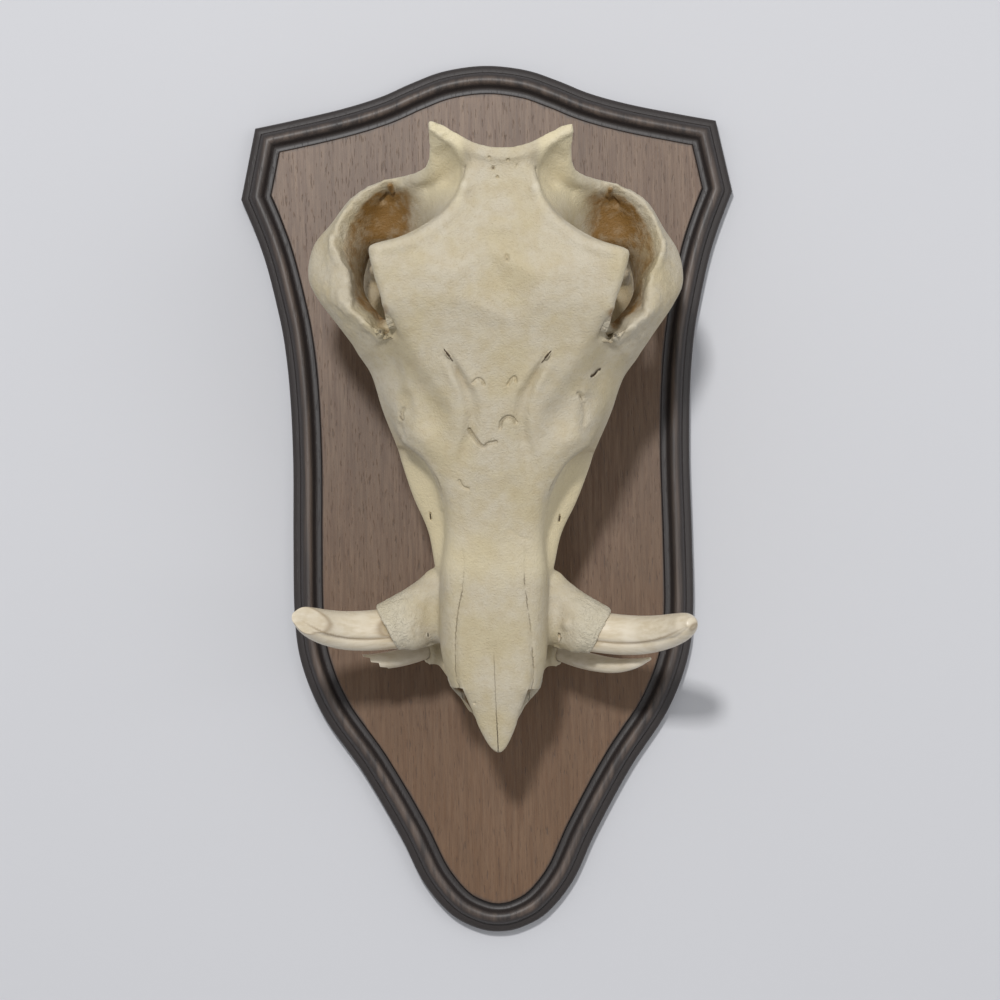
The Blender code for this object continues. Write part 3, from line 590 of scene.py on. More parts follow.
def sculpt_forehead(clay):
    """The forehead's dish, its raised rims, holes, grooves and the broken seams with the nasal bones."""
    # The dish between the rims, and the rims' rounded crown
    clay.stroke([(46, 146), (31, 153), (23, 165)], 9, -1.3)
    clay.stroke([(66, 136), (52, 139.5), (38, 147), (25, 159), (19.5, 172)], 5.0, 1.1)
    clay.stroke([(67, 130), (66, 118), (62, 104)], 6.0, 0.9)
    clay.stroke([(16, 153), (0, 150.5), (-16, 153)], 5.5, 0.5, both=False, taper=0.4)
    # The broad valley from each eye socket down towards the nose
    clay.stroke([(64, 92), (57, 74), (47, 58), (38, 46)], 15, -4.6)
    clay.stroke([(52, 56), (50, 46), (51, 40)], 6.0, -1.3)
    clay.stroke([(37, 62), (32, 50), (31, 36)], 12, -1.4)
    # The holes above the eyes and the grooves that run down from them beside the nasal bones
    clay.stroke([(24.5, 75), (19.5, 66), (15.5, 57), (13.6, 47), (15.2, 35), (18.4, 22), (20.5, 8)], 5.8, -2.4,
                taper=0.3)
    clay.stroke([(29.0, 81.5), (24.4, 74.5), (19.4, 66), (16.5, 59)], 3.2, -2.2, taper=0.5)
    clay.stroke([(29.6, 82.2), (27.6, 80.0), (25.6, 77.0)], 0.95, -2.4, way=(-0.25, -1, 0.3), soft=0.5,
                taper=0.35)
    clay.stroke([(32.5, 79), (27.5, 71.5), (22.0, 62), (19.5, 54)], 4.0, 1.0, taper=0.4)
    clay.stroke([(22.5, 81), (17.5, 71), (12, 61), (9, 52)], 4.6, 1.0, taper=0.4)
    # What is left of the seam between forehead and nasal bones: short crooked steps
    clay.stroke([(-15.2, 38.5), (-12.8, 34.5), (-9.6, 30.6), (-6.8, 29.0), (-4.6, 30.6), (-0.2, 31.8)], 1.5, -2.0,
                both=False)
    clay.stroke([(-14.4, 36.4), (-10.6, 31.6)], 2.2, -0.7, both=False)
    clay.stroke([(2.2, 39.6), (3.0, 43.4), (5.9, 45.8), (9.0, 45.2), (11.0, 43.0)], 1.5, -2.0, both=False)
    clay.stroke([(-13.4, 64.5), (-10.8, 66.6), (-8.4, 65.8), (-7.2, 63.6)], 1.3, -1.4, both=False)
    clay.stroke([(6.2, 63.8), (8.0, 66.6), (9.8, 68.0), (10.6, 65.8)], 1.3, -1.4, both=False)
    clay.stroke([(-20.6, 9.6), (-18.4, 6.2), (-15.4, 5.0)], 1.3, -1.2, both=False)
    # Pits: one in the forehead, small ones near the crest, and a slit before the right eye
    clay.stroke([(4.5, 134.0), (4.5, 131.8)], 1.9, -1.1, both=False)
    clay.stroke([(4.4, 137.6), (4.5, 134)], 2.2, -0.5, both=False)
    for x, up, reach in ((-4.0, 182.4, 1.3), (-1.5, 177.4, 1.1), (4.2, 186.5, 1.1), (-6.2, 187.8, 1.0),
                         (9.5, 184, 1.0)):
        clay.stroke([(x, up)], reach, -1.5, both=False, soft=0.5)
    clay.stroke([(53.0, 69.6), (55.0, 70.8), (56.4, 72.6), (58.0, 74.0)], 0.95, -2.6, both=False, soft=0.4,
                taper=0.2)
    clay.stroke([(-51.5, 50.5), (-54.2, 48.5), (-54.4, 45.6), (-52.6, 43.4)], 1.9, -1.8, both=False, taper=0.2)
    clay.stroke([(-55, 41), (-53, 35)], 2.0, -0.8, both=False)
    clay.stroke([(45.0, 60.4), (47.6, 58.6), (48.4, 55.4)], 1.9, -1.8, both=False, taper=0.2)
    clay.stroke([(49.5, 54), (50.6, 48), (49.6, 43)], 2.2, -0.9, both=False)


def sculpt_nose(clay):
    """The nasal bones' faint crown and pits, the side walls behind their sharp edge, and their holes."""
    edge = [(60.0, 31.4), (57.0, 29.4), (53.5, 29.2), (48.2, 27.2), (43, 22.4), (38.6, 16.0), (34.4, 10.2),
            (31.2, 3.0), (29.2, -6.0), (28.2, -14), (28.2, -24), (30.4, -41)]
    clay.cliff(edge, depth=4.6, rise=1.2, reach=17.0)
    clay.stroke([(52, 31.5), (46, 27.5), (39, 20), (33, 9), (30, -6)], 3.0, 0.7)
    clay.stroke([(37.7, -9.2), (37.3, -12.8)], 0.8, -1.6, soft=0.5)
    clay.stroke([(18.2, -30), (18.2, -53), (20.8, -71), (22.0, -90), (22.0, -103), (20.4, -112)], 1.6, -0.55)
    clay.stroke([(0, -84), (0, -142)], 1.3, -0.35, both=False)
    clay.stroke([(8, 5), (9, -60)], 9.0, -0.5)
    clay.stroke([(0, 10), (0, -80)], 7.0, 0.35, both=False)
    clay.stroke([(-12.4, -118.5)], 1.3, -0.9, both=False)
    clay.stroke([(9, -18), (15, -22), (19, -23)], 1.3, -0.5, both=False)


def sculpt_sheaths(clay):
    """The tusks' sheaths: swollen, rough towards the rim, with a hollow behind the boss."""
    clay.stroke([(47, -62), (50, -78), (47, -86)], 6.0, 1.2, both=True)
    clay.stroke([(36, -60), (38, -76), (36, -86)], 6.0, -1.6, both=True)
    clay.stroke([(42, -72.8)], 4.0, 1.6, both=False)
    clay.stroke([(-54, -66), (-56, -80)], 3.0, -0.8, both=False)


def sculpt_arches(clay):
    """Ragged rims of the eye sockets and arches, the step in the rim, the tear holes and the ear openings."""
    # The notch where the arch's rim steps in to the eye socket's rim
    clay.stroke([(91.5, 140), (88.5, 133.5), (84.6, 128.5)], 2.6, -2.4, way=(0, -1, 0.2))
    clay.stroke([(94, 147), (93.6, 139), (90, 131.5), (87, 128)], 2.6, 1.2)
    clay.stroke([(86.5, 126), (84.6, 118), (83.6, 108)], 3.2, 1.4)
    # The lower rim with its tear hole and rough edge
    clay.stroke([(65.8, 93.4), (65.4, 90.8)], 1.7, -5.0, way=(0.1, -1, 0), soft=0.4)
    clay.stroke([(76, 97), (71, 92.6), (66, 88.6)], 3.2, 1.0)
    clay.stroke([(61.6, 96.4), (63.2, 93.4)], 2.4, -2.6)
    # The ear openings at the arches' rear ends
    clay.stroke([(62.5, 176), (61.5, 173.5)], 2.0, -4.0, way=(0, -1, 0.1), soft=0.5)
    clay.stroke([(63.8, 171.5), (66.8, 168.5)], 2.2, -1.8)
    # Porous, thickened tips of the crest
    for x, up, reach, depth in ((37, 204, 2.2, -1.4), (33.5, 202, 1.8, -1.2), (30.6, 199.4, 1.6, -1.0),
                                (35.4, 206, 1.5, -0.8)):
        clay.stroke([(-x, up)], reach, depth, both=False)
    ridge = [(39, 205), (33, 200.5), (26.5, 195), (21.6, 188.5), (19.6, 181), (20.6, 172), (25.5, 163.5),
             (36, 155)]
    clay.relax(np.clip(1 - np.hypot((np.abs(clay.at[:, 0]) - 21) / 9, (clay.at[:, 2] - 187) / 12), 0, 1), 25)
    clay.stroke(ridge, 3.2, 1.1, taper=0.12)
    clay.stroke([(33.5, 195), (29.5, 184), (30, 172)], 8.0, -1.6, taper=0.2)


def ragged(clay, amount):
    """Fine unevenness all over, strongest along the rims of the arches and sheaths."""
    x = np.abs(clay.at[:, 0])
    up = clay.at[:, 2]
    out = clay.at[:, 1]
    rim = ramp(x, 56, 68) * ramp(out, 146, 152) * ramp(up, 84, 92) * ramp(up, 188, 182)
    rim *= x > 74 - 0.2 * np.abs(up - 130)
    sheath = ramp(x, 38, 46) * ramp(up, -48, -54)
    tips = ramp(up, 192, 200)
    porous = np.clip(rim + 0.8 * sheath + tips, 0, 1)
    for index in np.nonzero(porous > 0.02)[0]:
        spot = Vector(clay.at[index])
        coarse = noise.noise(spot / 5.0) * 1.1 + noise.noise(spot / 2.2) * 0.8
        clay.at[index] += clay.faces[index] * coarse * amount * porous[index]


def sculpt_cranium(clay):
    """The forms of the skull that the lumps don't give."""
    x, out, up = np.abs(clay.at[:, 0]), clay.at[:, 1], clay.at[:, 2]
    # The smooth bowl behind each eye socket
    bowl = ramp(x, 34, 42) * ramp(x, 88, 82) * ramp(up, 128, 138) * ramp(up, 180, 172)
    bowl *= ramp(out, 168, 156) * (out > 122)
    floor_out = 134.0 + ((x - 66) / 22) ** 2 * 22 + (np.clip(up - 152, 0, None) / 22) ** 2 * 16
    lift = np.clip(floor_out - out, 0, 16) * bowl
    clay.at[:, 1] += lift * ramp(up, 136, 144)
    clay.relax(bowl, 170)
    # The snout's end: nasal bones and the lip below them draw in towards the tip
    clay.at[:, 0] *= 1 - np.where(out > 108.5, 0.06, 0.11) * ramp(up, -110, -122)
    clay.relax(ramp(x, 20, 26) * ramp(up, 140, 148) * (out > 150), 8)
    clay.relax(ramp(up, -98, -104) * ramp(up, -132, -124) * ramp(out, 112, 117) * ramp(x, 17, 13), 30)
    sculpt_forehead(clay)
    sculpt_nose(clay)
    sculpt_sheaths(clay)
    sculpt_arches(clay)
    ragged(clay, 0.42)
    # The left side lobe stands out a little further than the right one
    lobe = ramp(np.abs(clay.at[:, 0]), 84, 104)
    clay.at[:, 0] -= 1.8 * lobe


def cranium():
    """The skull proper."""
    piece = new_piece("cranium_bone", cranium_lumps)
    fuse(piece, BONE_VOXEL, BONE_SMOOTHING)
    for hollow in (nose_hollow, nose_notches, brain_hollow):
        cut(piece, hollow)
    refine(piece, FINE_PLACES, 2)
    clay = Clay(piece)
    sculpt_cranium(clay)
    turned_nose(clay.at)
    clay.store()
    cut(piece, upper_sockets)
    thin_out(piece, MOST_TRIANGLES)
    return piece


# The mandible

def mandible_lumps(shape):
    """The chin, the two bodies and the two rami."""
    loft(shape, [
        half_section(-128, [(0, 69), (8, 69), (13, 65), (12, 57), (6, 52), (0, 51)]),
        half_section(-112, [(0, 69), (16, 71), (23, 65), (21, 50), (10, 38), (0, 37)]),
        half_section(-94, [(0, 64), (22, 70), (34, 64), (31, 46), (14, 29), (0, 28)]),
        half_section(-76, [(0, 59), (20, 68), (31, 61), (29, 40), (16, 23), (0, 22)]),
        half_section(-56, [(0, 56), (17, 65), (26, 58), (26, 37), (16, 20.5), (0, 21)]),
        half_section(-38, [(0, 50), (15, 62), (24, 55), (25, 36), (17, 20.5), (0, 27)]),
    ], around=44, along=40)
    body = [
        (15, 42, -48, 10, 20), (19, 42, -20, 9.5, 21.5), (23, 43, 10, 10.5, 22.5), (28, 43.5, 40, 12, 23),
        (36, 44, 70, 11.5, 23.5), (47, 46, 95, 10, 25), (57, 50, 115, 9, 28),
    ]
    angles = np.linspace(0, 2 * math.pi, 40, endpoint=False)
    rings = []
    for x, out, up, thick, tall in through(body, 44, False):
        rings.append([(x + thick * math.cos(a), out + tall * math.sin(a) * (1 - 0.12 * math.cos(a) ** 2),
                       up - 0.4 * thick * math.cos(a)) for a in angles])
    skin(shape, rings, mirrored=True)
    ramus_rows = [
        (57, 20.5, 112, 143, 3.5), (60, 32, 98, 158, 5.0), (65, 50, 94, 164, 6.2), (69, 68, 97, 166, 7.2),
        (71, 84, 101, 166, 7.5), (71, 95, 107, 167, 7.0), (68, 101, 116, 167, 5.4),
    ]
    rings = []
    for x, out, low, high, thick in through(ramus_rows, 40, False):
        mid = (low + high) / 2
        reach = (high - low) / 2
        rings.append([(x + thick * math.sin(a) - 4.0 * math.cos(a) * (out - 20) / 80, out,
                       mid + reach * math.cos(a))
                      for a in angles])
    skin(shape, rings, mirrored=True)
    horn(shape, [(70, 94, 130), (72, 105, 131), (73, 113.5, 133)], [6.5, 5.0, 3.0], mirrored=True)
    ball(shape, (62, 101, 160), (14, 6.5, 7), mirrored=True)
    horn(shape, [(24, 54, -86), (33, 59, -90), (40, 64, -93)], [9, 8.5, 7.5], mirrored=True)


def mandible():
    """The lower jaw."""
    piece = new_piece("mandible_bone", mandible_lumps)
    fuse(piece, JAW_VOXEL, JAW_SMOOTHING)
    cut(piece, lower_sockets)
    thin_out(piece, MOST_TRIANGLES)
    return piece


# The teeth

# Each tusk's middle line, and how thick it is there: (radius across, radius out)
UPPER_TUSK_PATH = [(40, 101, -74), (52, 103, -76), (62, 105, -77), (74, 108.5, -78), (86, 114, -77.8),
                   (97, 122.5, -76), (106, 132.5, -73.2), (111.3, 142, -70.6), (114.0, 148.5, -69.2)]
UPPER_TUSK_SIZES = [(10.6, 10.4), (11.6, 11.2), (11.9, 11.4), (11.7, 11.2), (11.2, 10.8), (10.3, 10.2),
                    (9.0, 9.2), (7.0, 7.4), (3.4, 3.8)]
LOWER_TUSK_PATH = [(29, 53, -85), (38, 60, -89.5), (48, 69, -93.3), (60, 79, -96), (72, 88, -97), (83, 96, -95.3),
                   (92, 102, -92)]
LOWER_TUSK_SIZES = [(5.2, 5.8), (5.5, 6.2), (5.4, 6.2), (5.1, 5.8), (4.4, 5.0), (3.0, 3.6), (0.8, 1.0)]
BROKEN_AT = 0.90  # how much of its path the left lower tusk still has
SOCKET_GAP = 0.4
GROOVE_AT = 115.0  # degrees round the tusk
# What the left lower tusk has lost, as (x, up) points: its broken end falls away in steps
SPLINTERS = [(-82.5, -86), (-81.0, -90.2), (-77.2, -91.2), (-76.0, -93.8), (-72.2, -94.6), (-71.4, -97.0),
             (-67.0, -97.6), (-66.2, -100.0), (-62.0, -100.6), (-61.2, -103.0), (-58.0, -104.0), (-57.5, -108),
             (-112, -108), (-112, -86)]


def tusk(shape, path, sizes, side, fatter=0.0, along=12, around=12, reach=1.0, groove=0.0, dome=0.0):
    """One tusk: a tapering body along its path, with a groove down its side and a rounded tip.

    Reach cuts it short, and dome is the tip's height as a share of its radius.
    """
    whole = 400
    kept = int(round(reach * whole))
    picks = np.linspace(0, kept - 1, along).astype(int)
    centres = through(path, whole, False)
    radii = through(sizes, whole, False) + fatter
    directions = np.gradient(centres, axis=0)
    rings = []
    turns = [0.0] * len(picks)
    if dome:
        picks = np.append(picks, [picks[-1]] * 6)
        turns += [math.radians(t) for t in (18, 34, 50, 64, 76, 85)]
    for index, turn in zip(picks, turns):
        forward = Vector(directions[index]).normalized()
        tall_way = forward.cross(Vector((0, 1, 0))).normalized()
        deep_way = tall_way.cross(forward)
        tall, deep = radii[index] * math.cos(turn)
        centre = Vector(centres[index]) + forward * float(radii[index].mean()) * dome * math.sin(turn)
        ring = []
        for step in range(around):
            a = 2 * math.pi * step / around
            spot = math.degrees(a)
            dip = 1 - groove * math.exp(-((spot - GROOVE_AT) / 7) ** 2) + 0.35 * groove * math.exp(
                -((spot - GROOVE_AT - 32) / 20) ** 2)
            place = centre + tall_way * tall * dip * math.cos(a) + deep_way * deep * dip * math.sin(a)
            ring.append((place.x * side, place.y, place.z))
        rings.append(ring)
    skin(shape, rings)


def broken_away(shape):
    """The lost end of the left lower tusk."""
    skin(shape, [[(x, out, up) for x, up in SPLINTERS] for out in (55.0, 120.0)])


# The tooth row from front to back: (up, sideways, half width)
MOLAR_ROW = [(13, 22.5, 5.4), (30, 23.8, 7.0), (50, 25.2, 7.2), (70, 26.8, 6.4), (84, 28.0, 4.6)]
UPPER_MOLAR_OUT = (78.6, 92.0)
LOWER_MOLAR_OUT = (58.0, 78.1)


def molar(shape, outs, side, fatter=0.0):
    """One long grinding tooth, a block with rounded ends that follows the tooth row."""
    low, high = outs
    rows = through([list(row) for row in MOLAR_ROW], 7, False)
    rings = []
    for index, (up, x, half) in enumerate(rows):
        end = fatter if index == len(rows) - 1 else -fatter if index == 0 else 0.0
        half = half + fatter
        bottom = low - fatter
        top = high + fatter
        ring = [(x - half, bottom + 1.5), (x - half, top), (x + half, top), (x + half, bottom + 1.5),
                (x + half - 1.5, bottom), (x, bottom + 0.5), (x - half + 1.5, bottom)]
        rings.append([(place * side, out, up + end) for place, out in ring])
    skin(shape, rings)


def upper_sockets(shape):
    """The sockets in the cranium, each a little wider than its tooth."""
    for side in (-1, 1):
        tusk(shape, UPPER_TUSK_PATH, UPPER_TUSK_SIZES, side, fatter=SOCKET_GAP, along=40, around=48)
        molar(shape, UPPER_MOLAR_OUT, side, fatter=SOCKET_GAP)


def lower_sockets(shape):
    """The sockets in the mandible."""
    for side in (-1, 1):
        tusk(shape, LOWER_TUSK_PATH, LOWER_TUSK_SIZES, side, fatter=SOCKET_GAP, along=40, around=32)
        molar(shape, LOWER_MOLAR_OUT, side, fatter=SOCKET_GAP)


# Where an upper tusk's tip is worn flat: a place on the facet and the way it faces, left and right
FACETS = {-1: ((-102.9, 138.8, -73.3), (0.50, 0.85, 0.12)), 1: ((113.4, 149.0, -71.5), (0.62, 0.70, -0.36))}


def paint_tusk(piece, path, side):
    """Wears an upper tusk's tip flat, and marks the facet's edge, the groove and the root end."""
    clay = Clay(piece)
    clay.at[:, 0] *= 1 - (0.025 if side < 0 else 0.009) * np.clip((np.abs(clay.at[:, 0]) - 88) / 22, 0, 1.2)
    spot, way = FACETS[side]
    way = np.array(way) / np.linalg.norm(way)
    beyond = (clay.at - spot) @ way
    worn = np.clip(beyond, 0, None)
    clay.at -= way * (0.9 * worn)[:, None]
    brim = 0.75 * np.exp(-((beyond - 0.2) / 0.7) ** 2)
    centres = through(path, 200, False) * (side, 1, 1)
    gap = np.linalg.norm(clay.at[:, None, :] - centres[None, ::4, :], axis=2)
    centre = centres[::4][gap.argmin(axis=1)]
    low = (centre[:, 2] - clay.at[:, 2]) / np.maximum(gap.min(axis=1), 1e-6)
    groove = np.exp(-((low - math.cos(math.radians(180 - GROOVE_AT))) / 0.055) ** 2)
    groove *= clay.at[:, 1] > centre[:, 1]
    clay.stains_and_shade["groove"] = np.maximum(groove * ramp(np.abs(clay.at[:, 0]), 112, 98), brim)
    clay.stains_and_shade["root"] = ramp(np.abs(clay.at[:, 0]), 76, 60) + 0.5 * np.clip(worn, 0, 1)
    clay.store()


def teeth():
    """All eight teeth, as (piece, node) pairs."""
    pairs = []
    for name, side in (("left", -1), ("right", 1)):
        whole = 1.0 if side > 0 else BROKEN_AT
        makers = {
            "upper_tusk_ivory": lambda shape: tusk(shape, UPPER_TUSK_PATH, UPPER_TUSK_SIZES, side,
                                                   along=110, around=90, groove=0.085, dome=0.35),
            "lower_tusk_ivory": lambda shape: tusk(shape, LOWER_TUSK_PATH, LOWER_TUSK_SIZES, side,
                                                   along=90, around=56, reach=whole),
            "upper_molar_enamel": lambda shape: molar(shape, UPPER_MOLAR_OUT, side),
            "lower_molar_enamel": lambda shape: molar(shape, LOWER_MOLAR_OUT, side),
        }
        for kind, maker in makers.items():
            piece = new_piece(f"{kind}_{name}", maker)
            pairs.append((piece, f"{kind.rpartition('_')[0]}_{name}"))
        if side < 0:
            cut(pairs[1][0], broken_away)
        paint_tusk(pairs[-4][0], UPPER_TUSK_PATH, side)
    return pairs


# The shield board

TOP_EDGE = [(0, 265), (25, 262), (45, 255), (64, 247), (88, 240), (118, 233.5), (141, 229)]
SIDE_EDGE = [(150.3, 185.5), (142.4, 166), (136, 147), (130, 122), (125.5, 98), (122.5, 66), (121.3, 24),
             (122, -24), (122, -70), (118, -100), (105, -132), (82, -166), (60, -205), (46, -234), (30, -253.5),
             (14, -262.5), (0, -265)]
# The routed edge: (in from the outline, out from the wall)
EDGE_PROFILE = [(0.0, 0.0), (0.0, 9.2), (0.3, 10.0), (1.0, 10.9), (2.6, 11.5), (4.2, 11.8), (4.7, 12.6),
                (4.9, 14.0), (5.5, 15.6), (6.7, 17.0), (8.4, 17.9), (10.2, 18.0), (11.9, 17.2), (13.0, 15.9),
                (13.7, 14.8), (14.6, 14.3), (16.2, 14.2), (17.3, 14.4), (17.9, 15.2), (18.1, 17.4), (18.25, 18.6),
                (18.7, BOARD_THICKNESS)]
# Points for each stretch of a ring: the top, the right upper side, both sides with the tip, the left one
EDGE_POINTS = (90, 14, 280, 14)
BOARD_CREASE = 32.0  # degrees from which an edge of the board stays sharp
HANGER_UP = 170.0
HANGER_HEAD = 10.0
HANGER_SHANK = 5.2
HANGER_RUN = 16.0


def unit(way):
    """The way with a length of one."""
    return way / np.linalg.norm(way)


def board_stretches():
    """The board's edge, clockwise from the upper left corner, as four stretches between sharp corners."""
    mirror = np.array([-1.0, 1.0])
    top = through([(-x, up) for x, up in reversed(TOP_EDGE[1:])] + TOP_EDGE, 400, False)
    side = through(SIDE_EDGE + [(-x, up) for x, up in reversed(SIDE_EDGE[:-1])], 1200, False)
    right = np.linspace(top[-1], side[0], 40)
    return [top, right, side, (right * mirror)[::-1]]


def board_ring(inset):
    """The board's outline moved inward by inset, with mitred corners, always with as many points."""
    stretches = board_stretches()
    mitres = []
    for before, after in zip(stretches[-1:] + stretches[:-1], stretches):
        come = unit(before[-1] - before[-6])
        leave = unit(after[5] - after[0])
        inward = unit(leave - come)
        half = math.acos(float(-come @ leave)) / 2
        mitres.append((after[0] + inward * inset / math.sin(half), inward))
    ring = []
    for index, (stretch, count) in enumerate(zip(stretches, EDGE_POINTS)):
        (start, start_way), (end, end_way) = mitres[index], mitres[(index + 1) % 4]
        travel = np.gradient(stretch, axis=0)
        travel /= np.linalg.norm(travel, axis=1)[:, None]
        moved = stretch + inset * np.column_stack([travel[:, 1], -travel[:, 0]])
        ahead = np.array([-start_way[1], start_way[0]])
        ahead = ahead if ahead @ travel[0] > 0 else -ahead
        behind = np.array([-end_way[1], end_way[0]])
        behind = behind if behind @ travel[-1] < 0 else -behind
        kept = moved[((moved - start) @ ahead > 0.05) & ((moved - end) @ behind > 0.05)]
        line = np.vstack([start, kept, end])
        run = np.concatenate([[0], np.cumsum(np.linalg.norm(np.diff(line, axis=0), axis=1))])
        steps = np.linspace(0, run[-1], count, endpoint=False)
        ring += list(zip(np.interp(steps, run, line[:, 0]), np.interp(steps, run, line[:, 1])))
    return ring


def board(shape):
    """The flat board with its square lower edge and the routed moulding above it."""
    skin(shape, [[(x, out, up) for x, up in board_ring(inset)] for inset, out in EDGE_PROFILE])
    flats = [face for face in shape.faces if len(face.verts) > 4]
    bmesh.ops.poke(shape, faces=flats)


def slot_outline(half, run):
    """A slot with round ends, standing upright, as (x, up) points."""
    top = [(half * math.cos(a), run / 2 + half * math.sin(a)) for a in np.linspace(0, math.pi, 13)]
    low = [(half * math.cos(a), -run / 2 + half * math.sin(a)) for a in np.linspace(math.pi, 2 * math.pi, 13)]
    return top + low


# The keyhole's three cuts: (half width, run, up, out from, out to): the round hole that the screw's head
# goes in by, the hidden channel that it slides up in, and the neck for its shank
HANGER_CUTS = [(HANGER_HEAD / 2 + 0.4, 0.01, HANGER_UP - HANGER_RUN / 2, -2.0, 9.6),
               (HANGER_HEAD / 2, HANGER_RUN, HANGER_UP, 3.0, 10.0),
               (HANGER_SHANK / 2, HANGER_RUN, HANGER_UP, -2.0, 5.0)]


def paint_edge(piece):
    """Stores how far each point of the board is in from its outline, for the dark stain of the edge."""
    outline = board_ring(0.0)
    gap, _, _ = nearest(read(piece.data.vertices, "co", 3)[:, (0, 2)] / MM, np.array(outline + outline[:1]))
    layer = piece.data.attributes.new("inward", "FLOAT", "POINT")
    layer.data.foreach_set("value", gap.astype(np.float32))


def shield_board():
    """The stained board that the skull is fixed to."""
    piece = new_piece("shield_board_wood", board)
    for half, run, middle, *depths in HANGER_CUTS:
        outline = [(x, middle + up) for x, up in slot_outline(half, run)]
        cut(piece, lambda shape: skin(shape, [[(x, out, up) for x, up in outline] for out in depths]))
    paint_edge(piece)
    return piece


def leaned(pieces):
    """Leans the whole skull a little on the board, as it hangs."""
    shift = Matrix.Translation((SKULL_SHIFT * MM, 0, 0))
    for piece in pieces:
        piece.data.transform(shift @ Matrix.Rotation(math.radians(SKULL_LEAN), 4, "Y"))


# The studio

# Metres, but the wall's hole ends HOLE_INSET millimetres inside the board's outline
WALL_REACH = 2.2
HOLE_INSET = 4.0
FLOOR_PLACE = (0, -1.0, -2.5)
FLOOR_SIZE = 4.0
EYE_PLACE = (0.0049, -2.0, -0.0009)
EYE_ROLL = -1.0  # degrees
SENSOR = 36.0
SEEN_WIDTH = 615.0  # millimetres of wall across the picture
LAMP_TARGET = (0, -0.1, 0.02)
# Each lamp's name, place, size in metres and power in watts
LAMPS = [("key", (-0.24, -2.3, 0.78), 0.18, 34.0), ("fill", (1.4, -1.9, 0.1), 1.2, 6.0)]
ROOM_COLOUR = (0.9, 0.92, 0.95, 1)
ROOM_STRENGTH = 0.56


def wall(finish):
    """A plain pale wall behind the board, open behind the board itself."""
    def panel(shape):
        hole = [point(x, 0, up) for x, up in board_ring(HOLE_INSET)]
        rim = [place.normalized() * WALL_REACH for place in hole]
        bmesh.ops.bridge_loops(shape, edges=closed_loop(shape, hole) + closed_loop(shape, rim))
    piece = new_piece("wall_backdrop", panel)
    if piece.data.polygons[0].normal.y > 0:
        piece.data.flip_normals()
    piece.data.materials.append(finish)


def floor(finish):
    """A plain pale floor far below."""
    def sheet(shape):
        bmesh.ops.create_grid(shape, x_segments=1, y_segments=1, size=FLOOR_SIZE,
                              matrix=Matrix.Translation(FLOOR_PLACE))
    piece = new_piece("floor", sheet)
    piece.data.materials.append(finish)


def camera():
    """The camera, square on to the wall two metres off, rolled as the photograph is."""
    lens = bpy.data.cameras.new("camera")
    lens.sensor_width = SENSOR
    lens.lens = SENSOR * -EYE_PLACE[1] / (SEEN_WIDTH * MM)
    eye = bpy.data.objects.new("camera", lens)
    bpy.context.scene.collection.objects.link(eye)
    eye.rotation_mode = "QUATERNION"
    eye.location = EYE_PLACE
    eye.rotation_quaternion = (Matrix.Rotation(math.radians(90), 3, "X")
                               @ Matrix.Rotation(math.radians(EYE_ROLL), 3, "Z")).to_quaternion()
    bpy.context.scene.camera = eye


def lights():
    """A soft key from above and a little to the left, a faint fill from the right, and a pale room."""
    for name, place, size, power in LAMPS:
        lamp = bpy.data.lights.new(name, "AREA")
        lamp.size = size
        lamp.energy = power
        holder = bpy.data.objects.new(name, lamp)
        bpy.context.scene.collection.objects.link(holder)
        holder.location = place
        holder.rotation_mode = "QUATERNION"
        holder.rotation_quaternion = (Vector(LAMP_TARGET) - Vector(place)).to_track_quat("-Z", "Y")
    room = bpy.data.worlds.new("room")
    room.use_nodes = True
    room.node_tree.nodes["Background"].inputs["Color"].default_value = ROOM_COLOUR
    room.node_tree.nodes["Background"].inputs["Strength"].default_value = ROOM_STRENGTH
    bpy.context.scene.world = room
    bpy.context.scene.view_settings.view_transform = "Standard"


# Finishes

PER_METRE = 1000.0  # a noise of scale PER_METRE / 5 has lumps about 5 mm across
# The setting that may follow each kind of node after a space
MAIN_SETTING = {"Math": "operation", "MapRange": "interpolation_type", "Mix": "data_type",
                "Attribute": "attribute_name"}


def linear(code):
    """A colour written as sRGB hex, turned linear."""
    parts = [int(code[i:i + 2], 16) / 255 for i in (1, 3, 5)]
    return [p / 12.92 if p <= 0.04045 else ((p + 0.055) / 1.055) ** 2.4 for p in parts] + [1.0]


